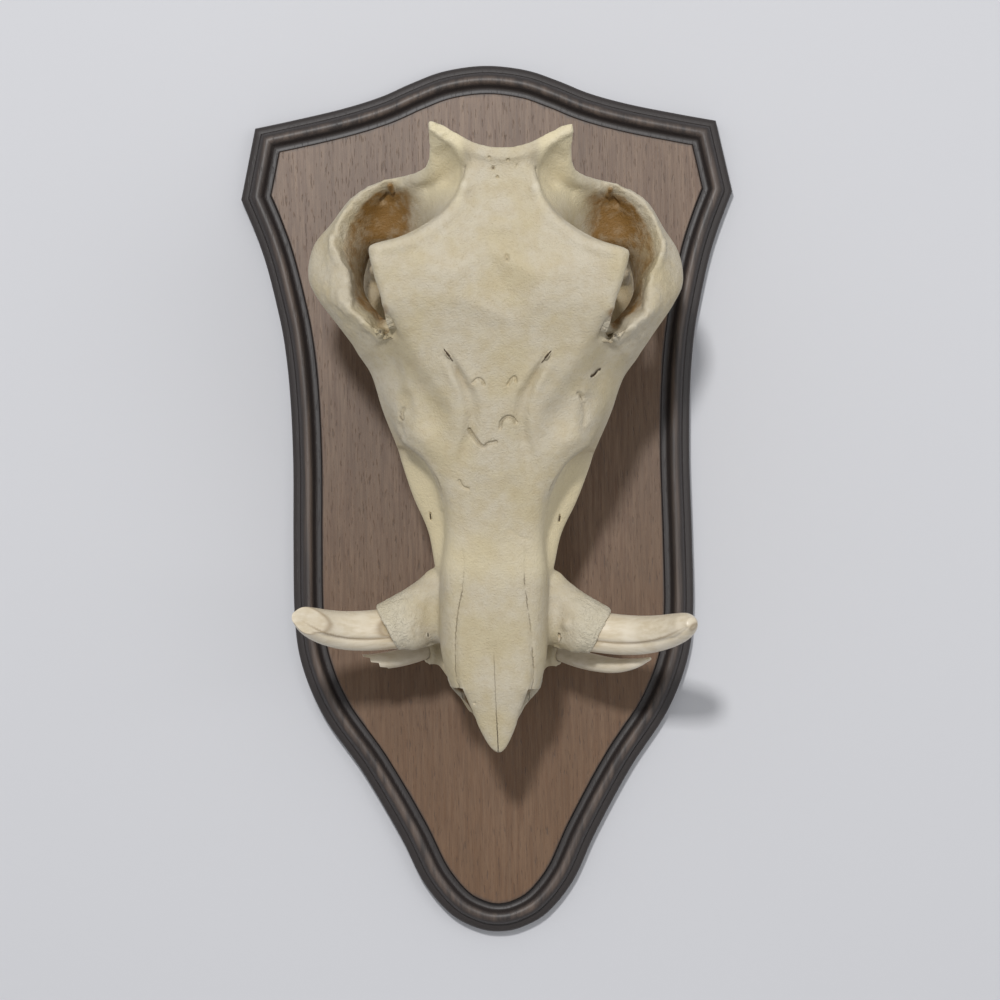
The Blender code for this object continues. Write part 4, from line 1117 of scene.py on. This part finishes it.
class Finish:
    """A material being put together from nodes."""

    def __init__(self, name, roughness, ior):
        self.made = bpy.data.materials.new(name)
        self.made.use_nodes = True
        self.tree = self.made.node_tree
        self.shader = self.tree.nodes["Principled BSDF"]
        for key, value in (("Roughness", roughness), ("IOR", ior), ("Metallic", 0.0)):
            self.shader.inputs[key].default_value = value

    def add(self, kind, *values, give="", **named):
        """Adds a node and returns its output of that name, or else its first open one.

        Values go to its open inputs in their order, and named ones to the inputs of those names.
        """
        kind, _, setting = kind.partition(" ")
        made = self.tree.nodes.new("ShaderNode" + kind)
        if setting:
            setattr(made, MAIN_SETTING[kind], setting)
        open_inputs = [slot for slot in made.inputs if slot.enabled]
        links = [*zip(open_inputs, values), *((made.inputs[key], value) for key, value in named.items())]
        for slot, value in links:
            if isinstance(value, bpy.types.NodeSocket):
                self.tree.links.new(value, slot)
            else:
                slot.default_value = value
        return next(slot for slot in made.outputs if slot.enabled and give in ("", slot.name))

    def sums(self, value, *steps):
        """The value after sums in turn, each given as an operation and what it takes."""
        for operation, other in zip(steps[::2], steps[1::2]):
            value = self.add("Math " + operation, value, other)
        return value

    def place(self, shift=(0, 0, 0), turn=(0, 0, 0), scale=(1, 1, 1)):
        """The object's own coordinates, shifted, turned and scaled."""
        return self.add("Mapping", self.add("TexCoord", give="Object"), shift, turn, scale)

    def skull_place(self, scale=(1, 1, 1)):
        """The object's coordinates brought back to the skull's own upright frame."""
        return self.place((-SKULL_SHIFT * MM, 0, 0), (0, -math.radians(SKULL_LEAN), 0), scale)

    def patches(self, place, size, detail, rough, low, high):
        """Soft patches about size millimetres across: 0 where the noise is under low, 1 over high."""
        cloud = self.add("TexNoise", place, PER_METRE / size, detail, rough)
        return self.add("MapRange SMOOTHSTEP", cloud, low, high)

    def coats(self, colour, *stains_and_shade):
        """The colour with stains and painted light laid over it in turn: (where it lies, how much of it, sRGB
        hex).
        """
        for share, amount, code in stains_and_shade:
            colour = self.add("Mix RGBA", self.sums(share, "MULTIPLY", amount), colour, linear(code))
        return colour

    def finish(self, colour, relief):
        """Links the colour and the relief to the shader."""
        self.tree.links.new(colour, self.shader.inputs["Base Color"])
        self.tree.links.new(relief, self.shader.inputs["Normal"])
        return self.made


# Dark lines of the skull's front as sideways distances at heights: (up, x), drawn as fine dark lines: a seam
# beside the nasal bones, and painted shade along the upper face's overhanging edge
NOSE_SEAM = [(-122, 18.6), (-110, 20.6), (-103, 22.3), (-90, 22.2), (-71, 21.0), (-53, 18.2), (-40, 17.2)]
EDGE_SHADE_LINE = [(-30, 28.6), (-22, 27.9), (-12, 28.0), (2, 30.4), (10, 33.0), (19, 39.3), (24, 43.8)]
# The same painted shade line's upper stretch as (x, up)
BROW_SHADE_LINE = [(36, 14), (39.3, 19), (43.8, 23.8), (48.2, 27.2), (53.5, 29.2), (57, 29.4)]
SEAM_REACH = 60.0  # no seam lies further from the mid line, in millimetres


def thin_dark_line(bone, sideways, up, line, width, wobble):
    """A thin line along a seam or a painted shade line, 1 on it: the curve gives the line's x for each height."""
    low, high = line[0][0], line[-1][0]
    curve = bone.add("FloatCurve", Value=bone.add("MapRange", up, low, high))
    mapping = curve.node.mapping
    points = mapping.curves[0].points
    while len(points) < len(line):
        points.new(0.5, 0.5)
    for knot, (height, x) in zip(points, line):
        knot.location = ((height - low) / (high - low), x / SEAM_REACH)
    mapping.update()
    centre = bone.sums(curve, "MULTIPLY", SEAM_REACH)
    gap = bone.sums(sideways, "ADD", wobble, "SUBTRACT", centre, "ABSOLUTE", 0.0)
    return bone.sums(bone.add("MapRange SMOOTHSTEP", gap, width, width * 0.2),
                     "MULTIPLY", bone.add("MapRange SMOOTHSTEP", up, low, low + 3.0),
                     "MULTIPLY", bone.add("MapRange SMOOTHSTEP", up, high, high - 6.0))


def seams_and_shade_line(bone, here):
    """The dark lines of the skull's front: seams along and between the nasal bones, and painted shade along their
    sharp overhanging edge.
    """
    across, up = (bone.sums(bone.add("SeparateXYZ", here, give=axis), "MULTIPLY", PER_METRE) for axis in "XZ")
    turned = bone.sums(up, "ADD", NOSE_TURN_FROM, "MULTIPLY", -1 / NOSE_TURN_RUN, "MAXIMUM", 0.0,
                       "POWER", NOSE_TURN_GROWTH, "MULTIPLY", NOSE_TURN)
    x = bone.sums(across, "SUBTRACT", turned)
    sides = bone.sums(x, "ABSOLUTE", 0.0)
    noise_here = bone.add("TexNoise", here, PER_METRE / 3.5, 3, 0.7)
    wobble = bone.sums(noise_here, "SUBTRACT", 0.5, "MULTIPLY", 2.2)
    little = bone.sums(wobble, "MULTIPLY", 0.3)
    middle = bone.sums(x, "ADD", bone.sums(wobble, "MULTIPLY", 0.4), "ABSOLUTE", 0.0)
    middle = bone.add("MapRange SMOOTHSTEP", middle, 0.34, 0.06)
    upper = bone.sums(bone.add("MapRange SMOOTHSTEP", up, -84, -96), "MULTIPLY", 0.35)
    lower = bone.sums(bone.add("MapRange SMOOTHSTEP", up, -116, -138), "MULTIPLY", 0.65)
    middle = bone.sums(middle, "MULTIPLY", bone.sums(upper, "ADD", lower))
    # The painted shade line under the overhanging edge of the upper face
    edge = bone.sums(thin_dark_line(bone, sides, up, EDGE_SHADE_LINE, 0.7, little),
                     "MAXIMUM", thin_dark_line(bone, up, sides, BROW_SHADE_LINE, 0.6, little), "MULTIPLY", 0.7)
    facing = bone.add("SeparateXYZ", bone.add("NewGeometry", give="Normal"), give="Y")
    return bone.sums(thin_dark_line(bone, sides, up, NOSE_SEAM, 0.42, wobble),
                     "MULTIPLY", bone.patches(here, 9, 2, 0.5, 0.3, 0.5), "MULTIPLY", 0.5,
                     "MAXIMUM", middle, "MAXIMUM", edge,
                     "MULTIPLY", bone.add("MapRange SMOOTHSTEP", facing, -0.35, -0.65))


def bone_finish(name, with_seams_and_shade_line=False):
    """Dry, cleaned bone: cream, with yellower patches, brown in the hollows partly as painted shade, painted
    shade in creases and pits, and a fine grain.
    """
    bone = Finish(name, 0.62, 1.5)
    here = bone.skull_place()
    stain_and_shade = {layer: bone.add("Attribute " + layer, give="Fac") for layer in BONE_STAINS_AND_SHADE}
    fine = bone.patches(here, 6, 4, 0.6, 0.36, 0.7)
    uneven = bone.sums(fine, "SUBTRACT", 0.5, "MULTIPLY", 0.4, "MULTIPLY", stain_and_shade["hollow"])
    mottle = bone.sums(stain_and_shade["hollow"], "ADD", uneven)
    colour = bone.coats(
        linear("#bcb29d"),
        (bone.patches(here, 38, 4, 0.6, 0.40, 0.66), 1.0, "#b8ab8c"),
        (fine, 0.35, "#ab9a78"),
        (stain_and_shade["warm"], 0.9, "#bba982"),
        # Brown in the hollows: partly stain, partly painted shade
        (bone.add("MapRange SMOOTHSTEP", mottle, 0.08, 0.95), 1.0, "#82602e"),
        (bone.patches(here, 1.5, 3, 0.7, 0.56, 0.72), 0.22, "#8d7e63"),
        (stain_and_shade["pale"], 0.75, "#d6c9a6"),
        # Painted shade in creases; paler on ridges
        (bone.add("MapRange SMOOTHSTEP", stain_and_shade["bend"], -0.03, -0.28), 1.0, "#8f7c5b"),
        (bone.add("MapRange SMOOTHSTEP", stain_and_shade["bend"], 0.03, 0.2), 0.6, "#cfc6b2"),
        (stain_and_shade["rough"], 0.5, "#c8c0ab"),
        # Painted shade in holes and pits
        (bone.add("MapRange SMOOTHSTEP", stain_and_shade["pit"], 0.15, 0.8), 1.0, "#3a2814"))
    finest = bone.sums(bone.add("TexNoise", here, PER_METRE / 0.7, 2, 0.5), "MULTIPLY", 0.5)
    porous = bone.sums(stain_and_shade["rough"], "MULTIPLY", bone.patches(here, 1.9, 3, 0.6, 0.35, 0.6), "MULTIPLY", 0.7)
    height = bone.sums(bone.add("TexNoise", here, PER_METRE / 1.3, 3, 0.65), "ADD", finest, "ADD", porous)
    if with_seams_and_shade_line:
        # Dark seams, and the painted shade line along the overhanging edge
        dark_lines_with_shade = seams_and_shade_line(bone, here)
        colour = bone.coats(colour, (dark_lines_with_shade, 1.0, "#5d4a33"))
        height = bone.sums(height, "SUBTRACT", bone.sums(dark_lines_with_shade, "MULTIPLY", 1.2))
    grain = bone.add("Bump", Height=height, Distance=0.55 * MM, Strength=1.0)
    swell = bone.add("TexNoise", here, PER_METRE / 7, 3, 0.5)
    return bone.finish(colour, bone.add("Bump", Height=swell, Distance=0.8 * MM, Strength=0.5, Normal=grain))


def ivory_finish():
    """Old tusk: creamy, faint lengthwise bands, browner at the socket and in its groove, with a low sheen."""
    ivory = Finish("tusk_ivory", 0.36, 1.54)
    lengthwise = ivory.skull_place((0.16, 0.5, 1.0))
    root = ivory.sums(ivory.add("Attribute root", give="Fac"),
                      "MULTIPLY", ivory.patches(lengthwise, 3, 3, 0.6, 0.25, 0.7))
    colour = ivory.coats(
        linear("#d6cab4"),
        (ivory.patches(lengthwise, 2.2, 4, 0.6, 0.35, 0.68), 1.0, "#c8baa0"),
        (ivory.patches(ivory.skull_place(), 14, 3, 0.55, 0.35, 0.7), 0.6, "#d9cfbc"),
        (root, 0.55, "#b39d74"),
        (ivory.add("Attribute groove", give="Fac"), 0.75, "#7d6442"))
    bands = ivory.add("TexNoise", lengthwise, PER_METRE / 1.2, 3, 0.6)
    return ivory.finish(colour, ivory.add("Bump", Height=bands, Distance=0.2 * MM, Strength=0.5))


def enamel_finish():
    """Worn molar: cream enamel in columns from crown to root, with brown cement between them."""
    enamel = Finish("molar_enamel", 0.42, 1.6)
    columns = enamel.patches(enamel.skull_place((1, 0.09, 1)), 5, 2, 0.5, 0.40, 0.60)
    colour = enamel.coats(
        linear("#a98d60"),
        (columns, 1.0, "#d6cbae"),
        (enamel.patches(enamel.place(), 9, 3, 0.6, 0.45, 0.7), 0.4, "#b9a274"))
    return enamel.finish(colour, enamel.add("Bump", Height=columns, Distance=0.6 * MM, Strength=0.6))


def wood_finish():
    """Birch board, stained brown, fine upright grain with short dark pores, edge nearly black, back raw; darker
    lower down as painted shade, the moulding's bead lighter from wear and a painted sheen.
    """
    wood = Finish("stained_birch", 0.46, 1.5)
    grain, pores, broad = (wood.place(scale=(1, 1, squeeze)) for squeeze in (0.055, 0.10, 0.16))
    figure = wood.add("TexNoise", grain, PER_METRE / 2.0, 6, 0.7, Distortion=0.15)
    height = wood.add("SeparateXYZ", wood.place(), give="Z")
    dots = wood.patches(pores, 0.9, 2, 0.5, 0.60, 0.70)
    facing = wood.add("SeparateXYZ", wood.add("NewGeometry", give="Normal"), give="Y")
    back = wood.add("MapRange SMOOTHSTEP", facing, 0.5, 0.8)
    flat = wood.coats(
        linear("#5e4430"),
        (wood.add("MapRange SMOOTHSTEP", figure, 0.34, 0.66), 1.0, "#78604b"),
        (wood.patches(broad, 34, 3, 0.55, 0.34, 0.68), 0.5, "#57402b"),
        # Painted shade: darker and warmer towards the bottom, where the lamp's sheen doesn't reach
        (wood.add("MapRange SMOOTHSTEP", height, 0.06, -0.16), 0.45, "#65431f"),
        (wood.patches(grain, 0.75, 3, 0.6, 0.42, 0.62), 0.22, "#463526"),
        (dots, 0.5, "#3d2e24"),
        (back, 0.6, "#94795a"))
    # The moulding's dark stain, rubbed along its middle, where the lighter bead is partly wear and partly a
    # painted sheen; inward is how far in from the outline, in millimetres
    inward = wood.add("Attribute inward", give="Fac")
    worn = wood.sums(wood.add("MapRange SMOOTHSTEP", inward, 6.2, 8.6),
                     "MULTIPLY", wood.add("MapRange SMOOTHSTEP", inward, 13.0, 10.4),
                     "MULTIPLY", wood.patches(grain, 5, 4, 0.6, 0.3, 0.75))
    dark = wood.coats(linear("#2e2826"), (worn, 0.75, "#6a5a4f"))
    ragged = wood.sums(wood.add("TexNoise", broad, PER_METRE / 7, 3, 0.6), "MULTIPLY", 1.6, "ADD", inward)
    edge = wood.sums(1.0, "SUBTRACT", back, "MULTIPLY", wood.add("MapRange SMOOTHSTEP", ragged, 20.4, 18.6))
    fibres = wood.add("Bump", Height=wood.add("TexNoise", grain, PER_METRE / 1.6, 4, 0.6), Distance=0.22 * MM,
                      Strength=0.35)
    relief = wood.add("Bump", Height=dots, Distance=-0.2 * MM, Strength=0.4, Normal=fibres)
    return wood.finish(wood.add("Mix RGBA", edge, flat, dark), relief)


def plain_finish(name, colour, one_sided=False):
    """A plain matt surface of the studio; the wall is clear from its far side."""
    plain = Finish(name, 0.9, 1.45)
    plain.shader.inputs["Base Color"].default_value = linear(colour)
    if one_sided:
        mixed = plain.add("MixShader", plain.add("NewGeometry", give="Backfacing"), plain.shader.outputs[0],
                          plain.add("BsdfTransparent"))
        plain.tree.links.new(mixed, plain.tree.nodes["Material Output"].inputs["Surface"])
    return plain.made


def cavities(clay, rounds=8):
    """How hollow (below 0) or ridged (above 0) the skin is at each point, from its neighbours."""
    average = clay.averager()
    middle = np.column_stack([average(clay.at[:, axis]) for axis in range(3)])
    bend = np.einsum("ij,ij->i", clay.at - middle, clay.faces)
    for _ in range(rounds):
        bend = 0.5 * bend + 0.5 * average(bend)
    return bend


def paint_cranium(piece):
    """Paints the cranium: brown in its deep hollows, partly stain and partly painted shade, painted shade in its
    pits and holes, yellower on the walls of the upper jaw.
    """
    clay = Clay(piece)
    x = np.abs(clay.at[:, 0])
    out = clay.at[:, 1]
    up = clay.at[:, 2]
    # Brown on the inner walls of the arches, partly stain and partly painted shade, deepest in the bowl behind
    # the eye
    rim = np.interp(up, [104, 110, 125, 131, 140, 146, 152, 160, 166, 172, 178],
                    [82, 83, 84, 87, 90.5, 90, 88, 84, 79.5, 73, 62])
    within = np.clip((rim - x) / 3.0, 0, 1) * ramp(x, 38, 54) ** 1.5 * ramp(up, 94, 100)
    within *= ramp(up, 178, 172) * ramp(out, 172, 162)
    deepest = np.exp(-((x - 66) / 15) ** 2 - ((up - 160) / 13) ** 2)
    hollow = within * (0.60 + 0.38 * deepest + 0.15 * ramp(up, 118, 106))
    # Painted shade in the recess beside the nasal bones' tip, under their overhang
    lip = np.interp(up, [-137, -131, -124, -120, -112, -109], [4, 8.6, 12.8, 15.6, 22.2, 24.5])
    nose = ramp(up, -107.5, -109.5) * ramp(out, 114, 112) * np.clip((lip - x) / 1.2, 0, 1)
    hollow = np.maximum(hollow, nose)
    clay.stains_and_shade["pit"] = 0.42 * nose
    # Painted shade in the gap where each upper tusk leaves its sheath
    centres = through(UPPER_TUSK_PATH, 200, False)
    sizes = through(UPPER_TUSK_SIZES, 200, False)
    sheath = np.nonzero((x > 55) & (up < -50))[0]
    here = np.column_stack([x[sheath], out[sheath], up[sheath]])
    gap = np.linalg.norm(here[:, None, :] - centres[None, :, :], axis=2)
    best = gap.argmin(axis=1)
    inner = gap.min(axis=1) / sizes[best].mean(axis=1)
    hollow[sheath] = np.maximum(hollow[sheath], ramp(inner, 1.1, 1.05))
    clay.stains_and_shade["hollow"] = hollow
    # Painted shade in the notch of the eye socket's lower rim and in the ear openings
    clay.stain_and_shade("hollow", [(63, 104), (66, 98)], 4.5, 0.7, front=True)
    clay.stain_and_shade("hollow", [(62.4, 176.2), (61.6, 173.6)], 3.4, 0.9, front=True)
    clay.stains_and_shade["pale"] = ramp(up, 160, 172) * ramp(x, 19, 23) * ramp(x, 50, 40)
    wall = ramp(up, 28, 18) * ramp(up, -50, -38) * ramp(out, 148, 138)
    clay.stains_and_shade["pale"] = np.maximum(clay.stains_and_shade["pale"], 0.8 * wall * (out > 96))
    clay.stains_and_shade["rough"] = ramp(x, 42, 54) * ramp(up, -50, -56)
    clay.stains_and_shade["warm"] = 0.55 * ramp(out, 150, 125) * ramp(up, 60, 30) * np.clip(
        (up + 50) / 20, 0, 1)
    # Curvature that darkens creases as painted shade and makes ridges paler
    clay.stains_and_shade["bend"] = cavities(clay)
    # Painted shade in the holes, slits, pits and crooked seam steps, deeper-looking than their carving
    for route, reach, amount in (([(30.0, 82.8), (28.4, 81.0)], 0.55, 1.0),
                                 ([(28.2, 80.6), (26.8, 79.0)], 0.85, 1.0),
                                 ([(26.6, 78.6), (25.0, 76.4)], 0.6, 0.8),
                                 ([(37.7, -9.6), (37.3, -12.4)], 0.7, 0.9),
                                 ([(65.8, 93.0), (65.5, 91.4)], 1.4, 0.6),
                                 ([(62.2, 175.4), (61.8, 174.2)], 1.6, 0.45)):
        clay.stain_and_shade("pit", route, reach, amount, front=True, soft=0.5)
    # The same painted shade, on one side only
    for route, reach, amount in (([(53.0, 69.6), (54.6, 70.5), (56.2, 72.4), (58.0, 74.0)], 0.85, 1.0),
                                 ([(-4.0, 182.4)], 0.9, 0.7), ([(4.5, 132.8), (4.5, 132.0)], 0.8, 0.5),
                                 ([(-54.2, 48.4), (-54.4, 45.6), (-53.0, 43.8)], 1.0, 0.6),
                                 ([(46.8, 59.2), (48.2, 56.4)], 0.9, 0.5),
                                 ([(-13.6, 36.0), (-11.0, 32.4), (-7.4, 29.4), (-4.6, 30.6)], 0.8, 0.4),
                                 ([(2.6, 41.4), (3.6, 44.2), (5.9, 45.8), (9.0, 45.2)], 0.8, 0.4)):
        clay.stain_and_shade("pit", route, reach, amount, front=True, soft=0.5, both=False)
    clay.store()


def paint_mandible(piece):
    """The lower jaw is a little yellower than the cranium, and browner towards the top of its rami as painted
    shade.
    """
    clay = Clay(piece)
    # Painted shade on the upper rami, under the cheek arches
    clay.stains_and_shade["hollow"] = ramp(clay.at[:, 2], 90, 106) * np.clip((clay.at[:, 1] - 60) / 20, 0.2, 0.36)
    clay.stains_and_shade["warm"] = np.full(len(clay.at), 0.5)
    clay.stains_and_shade["bend"] = cavities(clay)
    for name in BONE_STAINS_AND_SHADE:
        clay.stains_and_shade.setdefault(name, np.zeros(len(clay.at)))
    clay.store()


def dress():
    """Makes every piece and fixes it to the frame."""
    finishes = {"bone": bone_finish("bone", with_seams_and_shade_line=True), "ivory": ivory_finish(),
                "molar_enamel": enamel_finish(), "stained_wood": wood_finish()}
    jaw_finish = bone_finish("jaw_bone")
    skull = cranium()
    jaw = mandible()
    pairs = [(skull, "cranium", "bone"), (jaw, "mandible", "bone")]
    for tooth, node in teeth():
        slot = "ivory" if "tusk" in node else "molar_enamel"
        pairs.append((tooth, node, slot))
    paint_cranium(skull)
    paint_mandible(jaw)
    leaned([piece for piece, _, _ in pairs])
    pairs.append((shield_board(), "plaque", "stained_wood"))
    for piece, node, slot in pairs:
        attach(piece, "root")
        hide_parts(node)
        piece.data.shade_smooth()
        piece.data.materials.append(jaw_finish if piece is jaw else finishes[slot])
    pairs[-1][0].data.set_sharp_from_angle(angle=math.radians(BOARD_CREASE))
    return pairs


dress()
wall(plain_finish("pale_wall", "#c9c9cc", one_sided=True))
floor(plain_finish("pale_floor", "#d8d8d8"))
camera()
lights()
